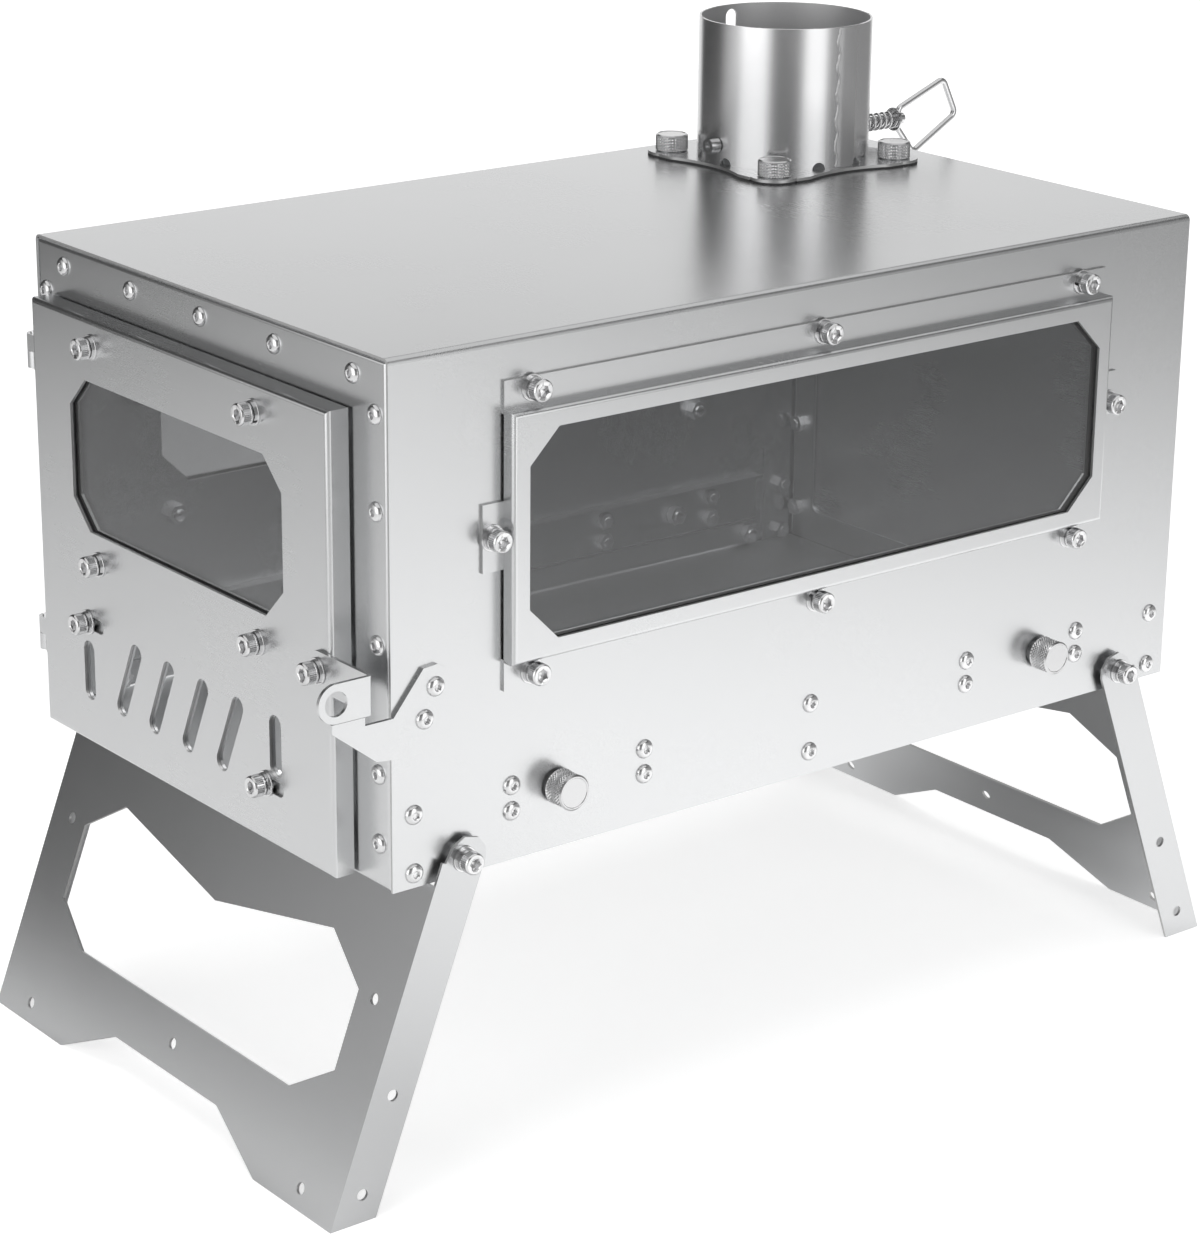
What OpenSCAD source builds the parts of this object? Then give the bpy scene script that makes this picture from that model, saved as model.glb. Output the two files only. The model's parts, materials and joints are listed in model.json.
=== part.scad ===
// Tent wood stove: a folded sheet steel firebox on two fold-away legs.
// Sizes are drawn from the front face (y 0), the underside of the body (z 0)
// and its middle (x 0). place() then stands the whole stove on its feet.

/* [Body] */
// Outside width of the body
body_w = 243; // [240:1:250]
// Length of the body, front to back
body_l = 400; // [398:1:410]
// Height of the body, underside to top
body_h = 199; // [198:1:205]
// Thickness of the folded body sheets
sheet = 1; // [0.8:0.1:1]
// Thickness of frames, brackets and legs
plate = 1.2; // [1:0.1:1.2]
// Outside radius of the sheet bends
bend_r = 2.5; // [2:0.1:3]

/* [Door] */
// Left edge of the door
door_x0 = -109.5; // [-109.5:0.5:-108]
// Width of the door
door_w = 208; // [204:1:208]
// Height of the door
door_h = 176.5; // [170:0.5:178]
// How far the door face stands in front of the body
door_face = 10.2; // [10:0.1:11]
// Half width of the door window
door_window_half = 75; // [68:1:76]
// Width of an air slot
vent_w = 8; // [7:0.5:8]

/* [Side windows] */
// Length of the raised window frame
frame_l = 302; // [290:1:302]
// Height of the raised window frame
frame_h = 94.5; // [92:0.5:96]
// How far the frame stands off the wall
frame_rise = 7; // [7:0.1:8]
// Width of frame left round the opening
frame_rim = 7.3; // [6.5:0.1:9]
// Corner cut of the window openings
window_chamfer = 13; // [10:1:15]

/* [Flue] */
// Middle of the flue, left of the middle of the body
flue_x = -64.5; // [-66:0.5:-60]
// Middle of the flue, behind the front face
flue_y = 340; // [330:1:342]
// Outside radius of the flue collar
collar_r = 37.6; // [36:0.1:38]
// Top of the collar above the top of the body
collar_rise = 62.5; // [56:0.5:70]
// Half spacing of the four knobs
knob_span = 34.5; // [34:0.5:36]

/* [Damper] */
// Height of the axle above the top of the body
axle_rise = 10; // [9.5:0.5:12]
// Curls in the damper spring
spring_curls = 8; // [5:1:8]
// Thickness of the spring wire
spring_wire = 1.2; // [1:0.1:1.3]
// Thickness of the handle wire
handle_wire = 2.7; // [2.4:0.1:2.8]

/* [Legs] */
// Lean of the open legs from upright
leg_tilt = 21; // [19:1:22]
// Height of the body above the floor
leg_drop = 126; // [118:1:128]
// Half the outside width of a leg
leg_half = 124.9; // [124.9:0.1:125.2]

/* [Hidden] */
$fn = 64;
eps = 0.5;

// Colours as the photograph shows them
satin = [0.78, 0.79, 0.80];
satin_dark = [0.62, 0.63, 0.64];
bright = [0.88, 0.88, 0.89];
smoky = [0.25, 0.26, 0.27, 0.55];
fibre = [0.20, 0.20, 0.21];

// The walls and the layers inside them
wall = body_w / 2;
wall_in = wall - sheet;
front_depth = 24;
back_depth = 20;
bottom_flange = 13;
rail_z0 = 14.5;
rail_top = 36.2;
rail_shelf = 6;
back_rim = 16.5;

// Screws: four and five millimetre threads, with room in their holes
m4 = 2;
m4_hole = 2.15;
m5 = 2.5;
m5_hole = 2.7;
cap_r = 4.25;
cap_h = 5;
button_r = 3.8;
button_h = 1.8;
flat_washer = 0.8;
split_washer = 1.2;
washer_stack = flat_washer + split_washer + 0.1;
nut4_h = 3.2;
nut5_h = 4;

// Places of the button screws on the front and back panels, as x and z
top_row = [for (x = [-100:50:100]) [x, body_h - 9.3]];
right_column = [for (z = [17, 43.8, 92.9, 142.4, 177.7]) [wall - 8, z]];
left_column = [for (z = [17, 58, 92.9, 130, 177.7]) [7 - wall, z]];
face_screws = concat(top_row, right_column, left_column);

// Places of the screws along a side wall, as y and z
pair_y = [53.4, 116, 283.7, 346.4];
mid_y = 199.5;
rail_high = [for (y = concat(pair_y, [mid_y])) [y, 29.6]];
rail_low = [for (y = pair_y) [y, 19.5]];
edge_screws = [[9.5, 28.5], [9.5, 5.7], [body_l - 9.5, 28.5], [body_l - 9.5, 5.7], [mid_y, 9.5]];
thumb_screws = [[74.7, 24.8], [body_l - 74.7, 24.8]];
thumb_r = 7;
thumb_h = 9.3;
thumb_washer = 1.3;

// Door opening in the front panel
opening_x0 = door_x0 + 13.5;
opening_w = door_w - 27;
opening_z0 = 12;
opening_h = 153;

// Door window, its glass and its screws
door_z0 = 0.5;
door_cx = door_x0 + door_w / 2 - 0.8;
door_window_z0 = 90.5;
door_window_h = 61.5;
door_window_chamfer = 12;
door_screw_x = 57.3;
door_screw_z = [78.6, 166.3];
door_back = 1;
door_inner = door_face - plate;
door_gasket_t = 0.6;
door_glass_t = 4;
clamp_y = -door_inner + door_gasket_t + door_glass_t;
door_nut_h = -clamp_y - plate - door_back - 0.1;

// Air slots: lower and upper end of each slot's middle line, as x and z
vents = [[[-73.8, 23.3], [-73.8, 40.2]], [[-49.2, 23.6], [-37.5, 48.6]],
  [[-24.9, 23.6], [-13.4, 48.6]], [[-0.4, 23.6], [11.1, 48.6]],
  [[24.1, 23.6], [35.6, 48.6]], [[61.3, 32.8], [61.3, 49.1]]];
shutter_pins = [[-73.5, 52.2], [54.5, 24.2]];
shutter_travel = 9;
shutter_gap = 0.2;
shutter_x0 = -89;
shutter_w = 159;
shutter_z0 = 15;
shutter_h = 43.5;

// Latch arm and the hook plate that it drops behind
latch_x = 93;
latch_z = 80;
latch_half = 7.4;
latch_t = 1.5;
latch_bend_x = 125.7;
latch_reach = 33.4;
finger_r = 4.75;
hook_t = 1.5;
hook_outline = [[0, 68], [1.5, 69.8], [13.2, 84.1], [19.5, 84.6], [24, 81.6], [26.5, 76.5],
  [25.5, 70], [20, 60], [9, 52.2], [0, 52.4], [-7.3, 53.2], [-26.1, 67.8], [-26.1, 71.2],
  [-12.1, 71.2], [-12.1, 68]];
hook_screws_at = [[18.4, 76.3], [13.5, 64.8]];

// Hinges at the left edge of the door
hinge_x = -115;
hinge_y = -6;
hinge_r = 3;
pin_r = 1.5;
hinge_h = 14;
hinge_z = [29, 147];

// Side window frame and its screws, as y and z
frame_y0 = body_l / 2 - frame_l / 2;
frame_z0 = 78.5;
flange_h = 11;
tab_reach = 9.5;
tab_z0 = 114.2;
tab_h = 25.6;
gasket_t = 1;
pane_gap = 1;
glass_t = frame_rise - plate - gasket_t;
window_row = [mid_y - 138, mid_y, mid_y + 138];
window_screws_at = concat(
  [for (y = window_row) [y, frame_z0 + frame_h + 6.8]],
  [for (y = window_row) [y, frame_z0 - 5.4]],
  [for (y = [frame_y0 - 5.2, frame_y0 + frame_l + 5.2]) [y, tab_z0 + tab_h / 2]]);

// Flue flange, collar and damper
flue_hole = 36.3;
gasket_h = 0.8;
flange_z = body_h + gasket_h;
collar_z = flange_z + plate;
collar_t = 1;
lobe_r = 10.5;
knob_r = 7.2;
knob_h = 7.3;
notches = 11;
notch_r = 3;
axle_r = 2.5;
axle_z = body_h + axle_rise;
axle_head_r = 3.4;
axle_head_h = 5;
disc_r = collar_r - collar_t - 1.1;
disc_t = 1.5;
spring_r = 3.4;
spring_y0 = flue_y + collar_r + 0.4;
spring_y1 = spring_y0 + 27.4;
loop_y = spring_y1 + 3;
damper_washer_t = 1;
// Corners of the wire loop, counted from the end of the axle, as y and z
loop_points = [[9.7, -16.3], [35.4, -1.4], [27, 15.3], [0, 4.5], [0, -4.5]];
loop_bend = 3;

// Legs: the front leg's pivot, and its outline down from that pivot
pivot_y = 29.5;
pivot_z = 7.6;
leg_front = 9.2;
leg_back = 9.8;
leg_top = 12.2;
leg_len = (leg_drop + pivot_z + leg_front * sin(leg_tilt)) / cos(leg_tilt);
cut_out = [[0, 59.5], [75.5, 44.8], [99.8, 60.4], [100, 92.2], [76.3, 107.4]];
arch_half = [38, 72.5];
arch_rise = 16.5;
spacer_t = leg_half - plate - wall - 0.1;

// The whole stove, from the lug of the latch to the end of the damper loop
loop_end_y = loop_y + corner_centre(loop_points, 1, loop_bend)[0] + loop_bend + handle_wire / 2;
middle_y = (loop_end_y - latch_reach) / 2;

// Angle of the edge that leaves corner i of a closed outline
function edge_angle(p, i) =
  let (a = p[i % len(p)], b = p[(i + 1) % len(p)]) atan2(b[1] - a[1], b[0] - a[0]);
// Turn of the outline at corner i, between 0 and 360
function corner_turn(p, i) =
  let (t = edge_angle(p, i) - edge_angle(p, i + len(p) - 1)) t < 0 ? t + 360 : t;
// Middle of the bend that rounds corner i, for an outline drawn anticlockwise
function corner_centre(p, i, r) =
  let (a = edge_angle(p, i + len(p) - 1), t = r * tan(corner_turn(p, i) / 2))
  p[i] - t * [cos(a), sin(a)] + r * [-sin(a), cos(a)];

module place() translate([0, -middle_y, leg_drop]) children();

// Left and right halves of a pair
module both_sides() {
  children();
  mirror([1, 0, 0]) children();
}

// Turns a piece drawn for the front face to stand on the right wall:
// its x becomes the distance behind the front face
module on_right() translate([wall, 0, 0]) rotate([0, 0, 90]) children();

// Turns a piece drawn for the front face to stand on the back face
module on_back() translate([0, body_l, 0]) mirror([0, 1, 0]) children();

// A sheet that faces the front, from its outline in x and z
module front_sheet(y, t) translate([0, y + t, 0]) rotate([90, 0, 0]) linear_extrude(t) children();

module at(places) for (p = places) translate([p[0], 0, p[1]]) children();
module dots(places, r) for (p = places) translate(p) circle(r);

// Outline with two round top corners
module arch_outline(w, h, r) {
  translate([-w / 2, 0]) square([w, h - r]);
  translate([r - w / 2, 0]) square([w - 2 * r, h]);
  for (s = [-1, 1]) translate([s * (w / 2 - r), h - r]) circle(r);
}

// Rectangle with its corners cut off
module cut_rectangle(x0, z0, w, h, c) translate([x0, z0])
  polygon([[c, 0], [w - c, 0], [w, c], [w, h - c], [w - c, h], [c, h], [0, h - c], [0, c]]);

module round_rectangle(x0, z0, w, h, r) translate([x0, z0]) {
  translate([r, 0]) square([w - 2 * r, h]);
  translate([0, r]) square([w, h - 2 * r]);
  for (x = [r, w - r], z = [r, h - r]) translate([x, z]) circle(r);
}

// Slot with round ends round the line from a to b
module slot_outline(a, b, w) {
  d = b - a;
  translate(a) rotate(atan2(d[1], d[0])) {
    translate([0, -w / 2]) square([norm(d), w]);
    circle(w / 2);
    translate([norm(d), 0]) circle(w / 2);
  }
}

// Block with its front edges rounded as bent sheet, front face at y 0
module soft_block(w, h, d, r) intersection() {
  linear_extrude(h) {
    translate([-w / 2, r]) square([w, d - r]);
    translate([r - w / 2, 0]) square([w - 2 * r, d]);
    for (s = [-1, 1]) translate([s * (w / 2 - r), r]) circle(r);
  }
  translate([-w / 2, 0, 0]) rotate([90, 0, 90]) linear_extrude(w) {
    translate([r, 0]) square([d - r, h]);
    translate([0, r]) square([d, h - 2 * r]);
    for (z = [r, h - r]) translate([r, z]) circle(r);
  }
}

// Shallow tray of bent sheet: a face with four edges folded back
module pan(w, h, d, t, r) difference() {
  soft_block(w, h, d, r);
  translate([0, t, t]) soft_block(w - 2 * t, h - 2 * t, d, r - t);
}

// Fasteners stand on a face at y 0 and point into it, along +y
module button_screw(grip) rotate([90, 0, 0]) difference() {
  union() {
    rotate_extrude() polygon([[0, 0], [button_r, 0], [button_r, 0.4], [3.3, 1.1],
      [2.5, 1.6], [1.8, button_h], [0, button_h]]);
    translate([0, 0, -grip]) cylinder(h = grip + 0.2, r = m4);
  }
  translate([0, 0, button_h - 1.1]) rotate(30) cylinder(h = 2, r = 1.45, $fn = 6);
}

module cap_screw(grip) rotate([90, 0, 0]) difference() {
  union() {
    rotate_extrude() polygon([[0, 0], [cap_r, 0], [cap_r, cap_h - 0.5],
      [cap_r - 0.5, cap_h], [0, cap_h]]);
    translate([0, 0, -grip]) cylinder(h = grip + 0.2, r = m5);
  }
  translate([0, 0, cap_h - 2.5]) rotate(30) cylinder(h = 4, r = 2.31, $fn = 6);
}

module ring(outer, inner, h) rotate([90, 0, 0]) translate([0, 0, -h]) difference() {
  cylinder(h = h, r = outer);
  translate([0, 0, -eps]) cylinder(h = h + 2 * eps, r = inner);
}

// Flat washer and split spring washer, stacked out from y 0
module washer_pair() {
  translate([0, -flat_washer, 0]) ring(5, m5 + 0.1, flat_washer);
  translate([0, -washer_stack, 0]) difference() {
    ring(4.4, m5 + 0.1, split_washer);
    translate([m5 - eps, -eps, -0.4]) cube([3, split_washer + 2 * eps, 0.8]);
  }
}

module hex_nut(across, bore, h) rotate([90, 0, 0]) translate([0, 0, -h]) difference() {
  cylinder(h = h, r = across / 2 / cos(30), $fn = 6);
  translate([0, 0, -eps]) cylinder(h = h + 2 * eps, r = bore);
}

module nut4() hex_nut(7, m4 + 0.05, nut4_h);
module nut5() hex_nut(8, m5 + 0.05, nut5_h);

module body_wrap() color(satin) place() difference() {
  front_sheet(0, body_l) difference() {
    arch_outline(body_w, body_h, bend_r);
    translate([0, -1]) arch_outline(2 * wall_in, body_h - sheet + 1, bend_r - sheet);
  }
  both_sides() on_right() front_sheet(-eps, sheet + 2 * eps) {
    window_opening();
    dots(concat(rail_high, rail_low, edge_screws), m4_hole);
    dots(concat(thumb_screws, window_screws_at, leg_pivots()), m5_hole);
  }
  on_right() front_sheet(-eps, sheet + 2 * eps) dots(hook_screws_at, m4_hole);
  translate([flue_x, flue_y, body_h - sheet - eps]) linear_extrude(sheet + 2 * eps)
    flue_holes();
}

function leg_pivots() = [[pivot_y, pivot_z], [body_l - pivot_y, pivot_z]];

module window_opening() cut_rectangle(frame_y0 + frame_rim, frame_z0 + frame_rim,
  frame_l - 2 * frame_rim, frame_h - 2 * frame_rim, window_chamfer);

module flue_holes() {
  circle(flue_hole);
  for (x = [-knob_span, knob_span], y = [-knob_span, knob_span])
    translate([x, y]) circle(m5_hole);
}

// Tray that closes an end of the body, with the same corners as the wrap
module end_tray(depth) intersection() {
  pan(2 * wall_in, body_h - sheet, depth, sheet, bend_r - 0.5);
  front_sheet(-1, depth + 2) arch_outline(2 * wall_in, body_h - sheet, bend_r - 0.5);
}

module end_tray_holes() {
  front_sheet(-eps, 4) dots(face_screws, m4_hole);
  both_sides() on_right() front_sheet(0, sheet * 2 + 2) dots(edge_screws, m4_hole);
}

module door_opening() round_rectangle(opening_x0, opening_z0, opening_w, opening_h, 5);

module front_panel() color(satin) place() difference() {
  end_tray(front_depth);
  end_tray_holes();
  front_sheet(-eps, 4) door_opening();
  on_right() front_sheet(0, 2 * sheet + 2) dots(hook_screws_at, m4_hole);
}

module back_panel() color(satin) place() on_back() difference() {
  end_tray(back_depth);
  end_tray_holes();
}

// Half width of the end stiffeners, clear of the bends of the tray round them
stiffener_half = wall_in - bend_r;

// Flat ring that stiffens an end panel from behind
module stiffener(x0, z0, w, h) front_sheet(sheet, plate) difference() {
  translate([-stiffener_half, 2 * sheet + 0.1])
    square([2 * stiffener_half, body_h - 4 * sheet - bend_r]);
  round_rectangle(x0, z0, w, h, 5);
  dots(face_screws, m4_hole);
}

module front_frame() color(satin_dark) place()
  stiffener(opening_x0, opening_z0, opening_w, opening_h);

module back_frame() color(satin_dark) place() on_back()
  stiffener(back_rim - wall, back_rim, body_w - 2 * back_rim, body_h - 2 * back_rim);

module bottom_panel() color(satin_dark) place() difference() {
  union() {
    translate([0, front_depth + 1, 0]) front_sheet(0, body_l - 2 * front_depth - 2)
      translate([0, bottom_flange]) mirror([0, 1]) difference() {
        arch_outline(2 * wall_in, bottom_flange - sheet, bend_r);
        translate([0, -1])
          arch_outline(2 * wall_in - 2 * sheet, bottom_flange - 2 * sheet + 1, bend_r - sheet);
      }
    translate([0.2 - wall_in + sheet, bend_r, sheet])
      cube([2 * (wall_in - sheet - 0.2), body_l - 2 * bend_r, sheet]);
  }
  both_sides() on_right() front_sheet(0, sheet * 2 + 2) {
    dots([[mid_y, 9.5]], m4_hole);
    dots(leg_pivots(), m5_hole);
  }
}

// Angle bars along both walls, on which a grate or a liner can lie
module side_rails() color(satin_dark) place() both_sides() difference() {
  translate([0, front_depth + 1, 0]) front_sheet(0, body_l - 2 * front_depth - 2) {
    translate([wall_in - plate, rail_z0]) square([plate, rail_top - rail_z0]);
    translate([wall_in - rail_shelf, rail_top - plate]) square([rail_shelf, plate]);
  }
  on_right() front_sheet(0, sheet + plate + 2) {
    dots(concat(rail_high, rail_low), m4_hole);
    dots(thumb_screws, m5_hole);
  }
}

module panel_screws() color(bright) place() {
  at(face_screws) button_screw(sheet + plate + nut4_h + 0.5);
  on_back() at(face_screws) button_screw(sheet + plate + nut4_h + 0.5);
}

module panel_nuts() color(bright) place() {
  at(face_screws) translate([0, sheet + plate, 0]) nut4();
  on_back() at(face_screws) translate([0, sheet + plate, 0]) nut4();
}

module rail_screws() color(bright) place() both_sides() on_right() {
  at(concat(rail_high, rail_low)) button_screw(sheet + plate + nut4_h + 0.5);
  at(edge_screws) button_screw(2 * sheet + nut4_h + 0.5);
}

module rail_nuts() color(bright) place() both_sides() on_right() {
  at(concat(rail_high, rail_low)) translate([0, sheet + plate, 0]) nut4();
  at(edge_screws) translate([0, 2 * sheet, 0]) nut4();
}

module thumbscrews() color(bright) place() both_sides() on_right() at(thumb_screws) {
  translate([0, -thumb_washer, 0]) {
    rotate([90, 0, 0]) rotate_extrude() polygon([[0, 0], [thumb_r - 0.4, 0], [thumb_r, 0.4],
      [thumb_r, thumb_h - 0.5], [thumb_r - 0.5, thumb_h], [0, thumb_h]]);
    ring(m5, 0.01, thumb_washer + sheet + plate + nut5_h + 1);
    ring(4.4, m5 - 0.1, thumb_washer);
  }
}

module thumbscrew_nuts() color(bright) place() both_sides() on_right() at(thumb_screws)
  translate([0, sheet + plate, 0]) nut5();

// Raised window frame: two flat flanges, two tabs and a folded box between them
module window_frame() difference() {
  union() {
    front_sheet(-plate, plate) {
      translate([frame_y0, frame_z0 - flange_h]) square([frame_l, frame_h + 2 * flange_h]);
      translate([frame_y0 - tab_reach, tab_z0]) square([frame_l + 2 * tab_reach, tab_h]);
    }
    translate([body_l / 2, -frame_rise, frame_z0]) soft_block(frame_l, frame_h, frame_rise, 2);
  }
  translate([body_l / 2, plate - frame_rise, frame_z0 + plate])
    soft_block(frame_l - 2 * plate, frame_h - 2 * plate, frame_rise, 2 - plate);
  for (z = [[frame_z0 + plate, tab_z0], [tab_z0 + tab_h, frame_z0 + frame_h - plate]])
    translate([frame_y0 - eps, -1, z[0]]) cube([frame_l + 2 * eps, 1 + eps, z[1] - z[0]]);
  front_sheet(-frame_rise - eps, frame_rise) window_opening();
  front_sheet(-plate - eps, plate + 2 * eps) dots(window_screws_at, m5_hole);
}

// Flat piece that fills the window frame behind its face
module pane_outline() translate([frame_y0 + plate + pane_gap, frame_z0 + plate + pane_gap])
  square([frame_l - 2 * (plate + pane_gap), frame_h - 2 * (plate + pane_gap)]);

module window_gasket() front_sheet(-gasket_t, gasket_t) difference() {
  pane_outline();
  window_opening();
}

module window_glass() front_sheet(plate - frame_rise, glass_t) pane_outline();

module window_frame_right() color(satin) place() on_right() window_frame();
module window_frame_left() color(satin) place() mirror([1, 0, 0]) on_right() window_frame();
module window_gasket_right() color(fibre) place() on_right() window_gasket();
module window_gasket_left() color(fibre) place() mirror([1, 0, 0]) on_right() window_gasket();
module window_glass_right() color(smoky) place() on_right() window_glass();
module window_glass_left() color(smoky) place() mirror([1, 0, 0]) on_right() window_glass();

module window_screws() color(bright) place() both_sides() on_right() at(window_screws_at)
  translate([0, -plate - washer_stack, 0]) cap_screw(washer_stack + plate + sheet + nut5_h + 1);

module window_washers() color(bright) place() both_sides() on_right() at(window_screws_at)
  translate([0, -plate, 0]) washer_pair();

module window_nuts() color(bright) place() both_sides() on_right() at(window_screws_at)
  translate([0, sheet, 0]) nut5();

// Four round lobes joined by hollow sides, with the holes for the flue and the knobs
module flange_outline() difference() {
  union() {
    square(2 * knob_span, center = true);
    for (x = [-knob_span, knob_span], y = [-knob_span, knob_span])
      translate([x, y]) circle(lobe_r);
    for (a = [0, 90]) rotate(a) square([2 * (knob_span + lobe_r), 2 * knob_span - 8], center = true);
  }
  for (a = [0:90:270]) rotate(a) translate([side_cut_r + collar_r + 3, 0]) circle(side_cut_r);
}

// Radius that hollows each side from lobe to lobe
side_cut_r = 62;

module flue_gasket() color(fibre) place() translate([flue_x, flue_y, body_h])
  linear_extrude(gasket_h) difference() {
    flange_outline();
    flue_holes();
  }

module flue_flange() color(satin) place() translate([flue_x, flue_y, flange_z])
  linear_extrude(plate) difference() {
    flange_outline();
    flue_holes();
  }

// Pipe stub, notched round its foot, with bores for the damper axle
module flue_collar() color(satin) place() translate([flue_x, flue_y, 0]) difference() {
  translate([0, 0, collar_z]) cylinder(h = body_h + collar_rise - collar_z, r = collar_r);
  translate([0, 0, collar_z - eps]) cylinder(h = collar_rise + 2, r = collar_r - collar_t);
  for (i = [0:notches - 1]) rotate(16.4 + i * 360 / notches) translate([collar_r - 3, 0, collar_z])
    rotate([0, 90, 0]) cylinder(h = 6, r = notch_r);
  translate([0, -collar_r - eps, axle_z]) rotate([-90, 0, 0])
    cylinder(h = 2 * collar_r + 2 * eps, r = axle_r + 0.06);
  translate([-collar_r - eps, 0, body_h + collar_rise]) rotate([90, 0, 90])
    linear_extrude(4) slot_outline([0, -11], [0, -5.2], 6.4);
}

module flue_corners() translate([flue_x, flue_y, 0])
  for (x = [-knob_span, knob_span], y = [-knob_span, knob_span]) translate([x, y, 0]) children();

module flue_knobs() color(bright) place() flue_corners() translate([0, 0, collar_z]) {
  rotate_extrude() polygon([[0, 0.3], [4.5, 0.3], [4.5, 0], [5, 0], [5, 0.6], [knob_r - 0.4, 0.6],
    [knob_r, 1], [knob_r, knob_h - 0.5], [knob_r - 0.5, knob_h], [0, knob_h]]);
  translate([0, 0, -plate - gasket_h - sheet - nut5_h - 1])
    cylinder(h = plate + gasket_h + sheet + nut5_h + 2, r = m5);
}

module flue_nuts() color(bright) place() flue_corners()
  translate([0, 0, body_h - sheet - nut5_h]) rotate([-90, 0, 0]) nut5();

// The damper turns on its axle, which lies along y
module on_axle() translate([flue_x, 0, axle_z]) children();
module along_axle(y) translate([0, y, 0]) rotate([-90, 0, 0]) children();

module damper_disc() color(satin_dark) place() on_axle() difference() {
  translate([-disc_t / 2, flue_y, 0]) rotate([0, 90, 0]) cylinder(h = disc_t, r = disc_r);
  for (y = [-14, 14]) translate([-3, flue_y + y, 0]) rotate([0, 90, 0])
    cylinder(h = 6, r = 1.6);
}

// Slotted rod: the disc sits in the slot and the wire loop in a cross hole
module damper_axle() color(bright) place() on_axle() difference() {
  union() {
    along_axle(flue_y - collar_r - 0.3 - axle_head_h) cylinder(h = axle_head_h, r = axle_head_r);
    along_axle(flue_y - collar_r - 0.5) cylinder(h = loop_y + 2.4 - flue_y + collar_r + 0.5, r = axle_r);
  }
  translate([-disc_t / 2, flue_y - disc_r - 0.1, -5]) cube([disc_t, 2 * disc_r + 0.2, 10]);
  for (y = [-14, 14]) translate([-3, flue_y + y, 0]) rotate([0, 90, 0]) cylinder(h = 6, r = 1.6);
  translate([0, loop_y, -5]) cylinder(h = 10, r = handle_wire / 2 + 0.05);
  along_axle(flue_y - collar_r - 0.3 - axle_head_h - 1) rotate(30) cylinder(h = 3, r = 1.75, $fn = 6);
}

module damper_screws() color(bright) place() on_axle() for (y = [-14, 14])
  translate([0, flue_y + y, 0]) rotate([0, 90, 0]) {
    translate([0, 0, -axle_r - 1]) cylinder(h = 2 * axle_r + 2, r = 1.5);
    for (s = [-1, 1]) translate([0, 0, s * (axle_r + 0.7) - 0.7]) cylinder(h = 1.4, r = 2.6);
  }

// Open coil spring: a wire swept along a helix, its two ends turned along the axle
spring_sides = 6;
rings_per_curl = 8;
spring_steps = spring_curls * rings_per_curl;
coil_y0 = spring_y0 + 1.5 * spring_wire;
coil_y1 = spring_y1 - 1.5 * spring_wire;
function coil_point(i) =
  let (a = 360 * i / rings_per_curl)
  [spring_r * cos(a), coil_y0 + (coil_y1 - coil_y0) * i / spring_steps, spring_r * sin(a)];
spring_path = concat(
  [coil_point(0) - [0, 1.5 * spring_wire, 0.9], coil_point(0) - [0, 0.5 * spring_wire, 0.9]],
  [for (i = [0:spring_steps]) coil_point(i)],
  [coil_point(spring_steps) + [0, 0.5 * spring_wire, 0.9],
    coil_point(spring_steps) + [0, 1.5 * spring_wire, 0.9]]);
function unit(v) = v / norm(v);
// Direction of the wire at point i: along the axle at both ends
function wire_way(p, i) =
  i <= 1 || i >= len(p) - 2 ? [0, 1, 0] : unit(p[i + 1] - p[i - 1]);
// One ring of points round the wire, started from the side that faces the axle
function wire_ring(p, i, r, n) =
  let (d = wire_way(p, i), out = [p[i][0], 0, p[i][2]],
    u = unit(out - (out * d) * d), v = cross(d, u))
  [for (k = [0:n - 1]) p[i] + r * (cos(360 * k / n) * u + sin(360 * k / n) * v)];
module wire_sweep(p, r, n) {
  last = (len(p) - 1) * n;
  polyhedron(
    points = [for (i = [0:len(p) - 1], q = wire_ring(p, i, r, n)) q],
    faces = concat(
      [for (k = [1:n - 2]) [0, k, k + 1]],
      [for (k = [1:n - 2]) [last, last + k + 1, last + k]],
      [for (i = [0:len(p) - 2], k = [0:n - 1], f = [0, 1])
        let (a = i * n + k, b = i * n + (k + 1) % n)
        f == 0 ? [a, a + n, b] : [b, a + n, b + n]]));
}
// Least gap between turns, measured between points at least half a curl apart
spring_gap = min([for (i = [0:len(spring_path) - 1], j = [i + 4:1:len(spring_path) - 1])
  norm(spring_path[i] - spring_path[j])]) - spring_wire;
echo(least_gap_in_spring_mm = spring_gap);

module damper_spring() color(bright) place() on_axle()
  wire_sweep(spring_path, spring_wire / 2, spring_sides);

module damper_washer() color(bright) place() on_axle() along_axle(spring_y1) difference() {
  cylinder(h = damper_washer_t, r = 5.2);
  translate([0, 0, -eps]) cylinder(h = damper_washer_t + 2 * eps, r = axle_r + 0.05);
}

// Wire bent along a closed outline, drawn anticlockwise in x and y. Each corner
// is an arc of bend_steps pieces, and a ring of points stands on each arc point.
bend_steps = 5;
wire_sides = 12;
function bent_stations(p, bend) = [for (i = [0:len(p) - 1], k = [0:bend_steps])
  let (c = corner_centre(p, i, bend),
    a = edge_angle(p, i + len(p) - 1) + corner_turn(p, i) * k / bend_steps)
  [c[0] + bend * sin(a), c[1] - bend * cos(a), a]];
module bent_wire(p, bend, r) {
  stations = bent_stations(p, bend);
  n = wire_sides;
  total = len(stations) * n;
  polyhedron(
    points = [for (s = stations, k = [0:n - 1]) let (t = 360 * k / n)
      [s[0] - r * cos(t) * sin(s[2]), s[1] + r * cos(t) * cos(s[2]), r * sin(t)]],
    faces = [for (i = [0:len(stations) - 1], k = [0:n - 1], f = [0, 1])
      let (a = i * n + k, b = i * n + (k + 1) % n)
      f == 0 ? [a, (a + n) % total, b] : [b, (a + n) % total, (b + n) % total]]);
}

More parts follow.
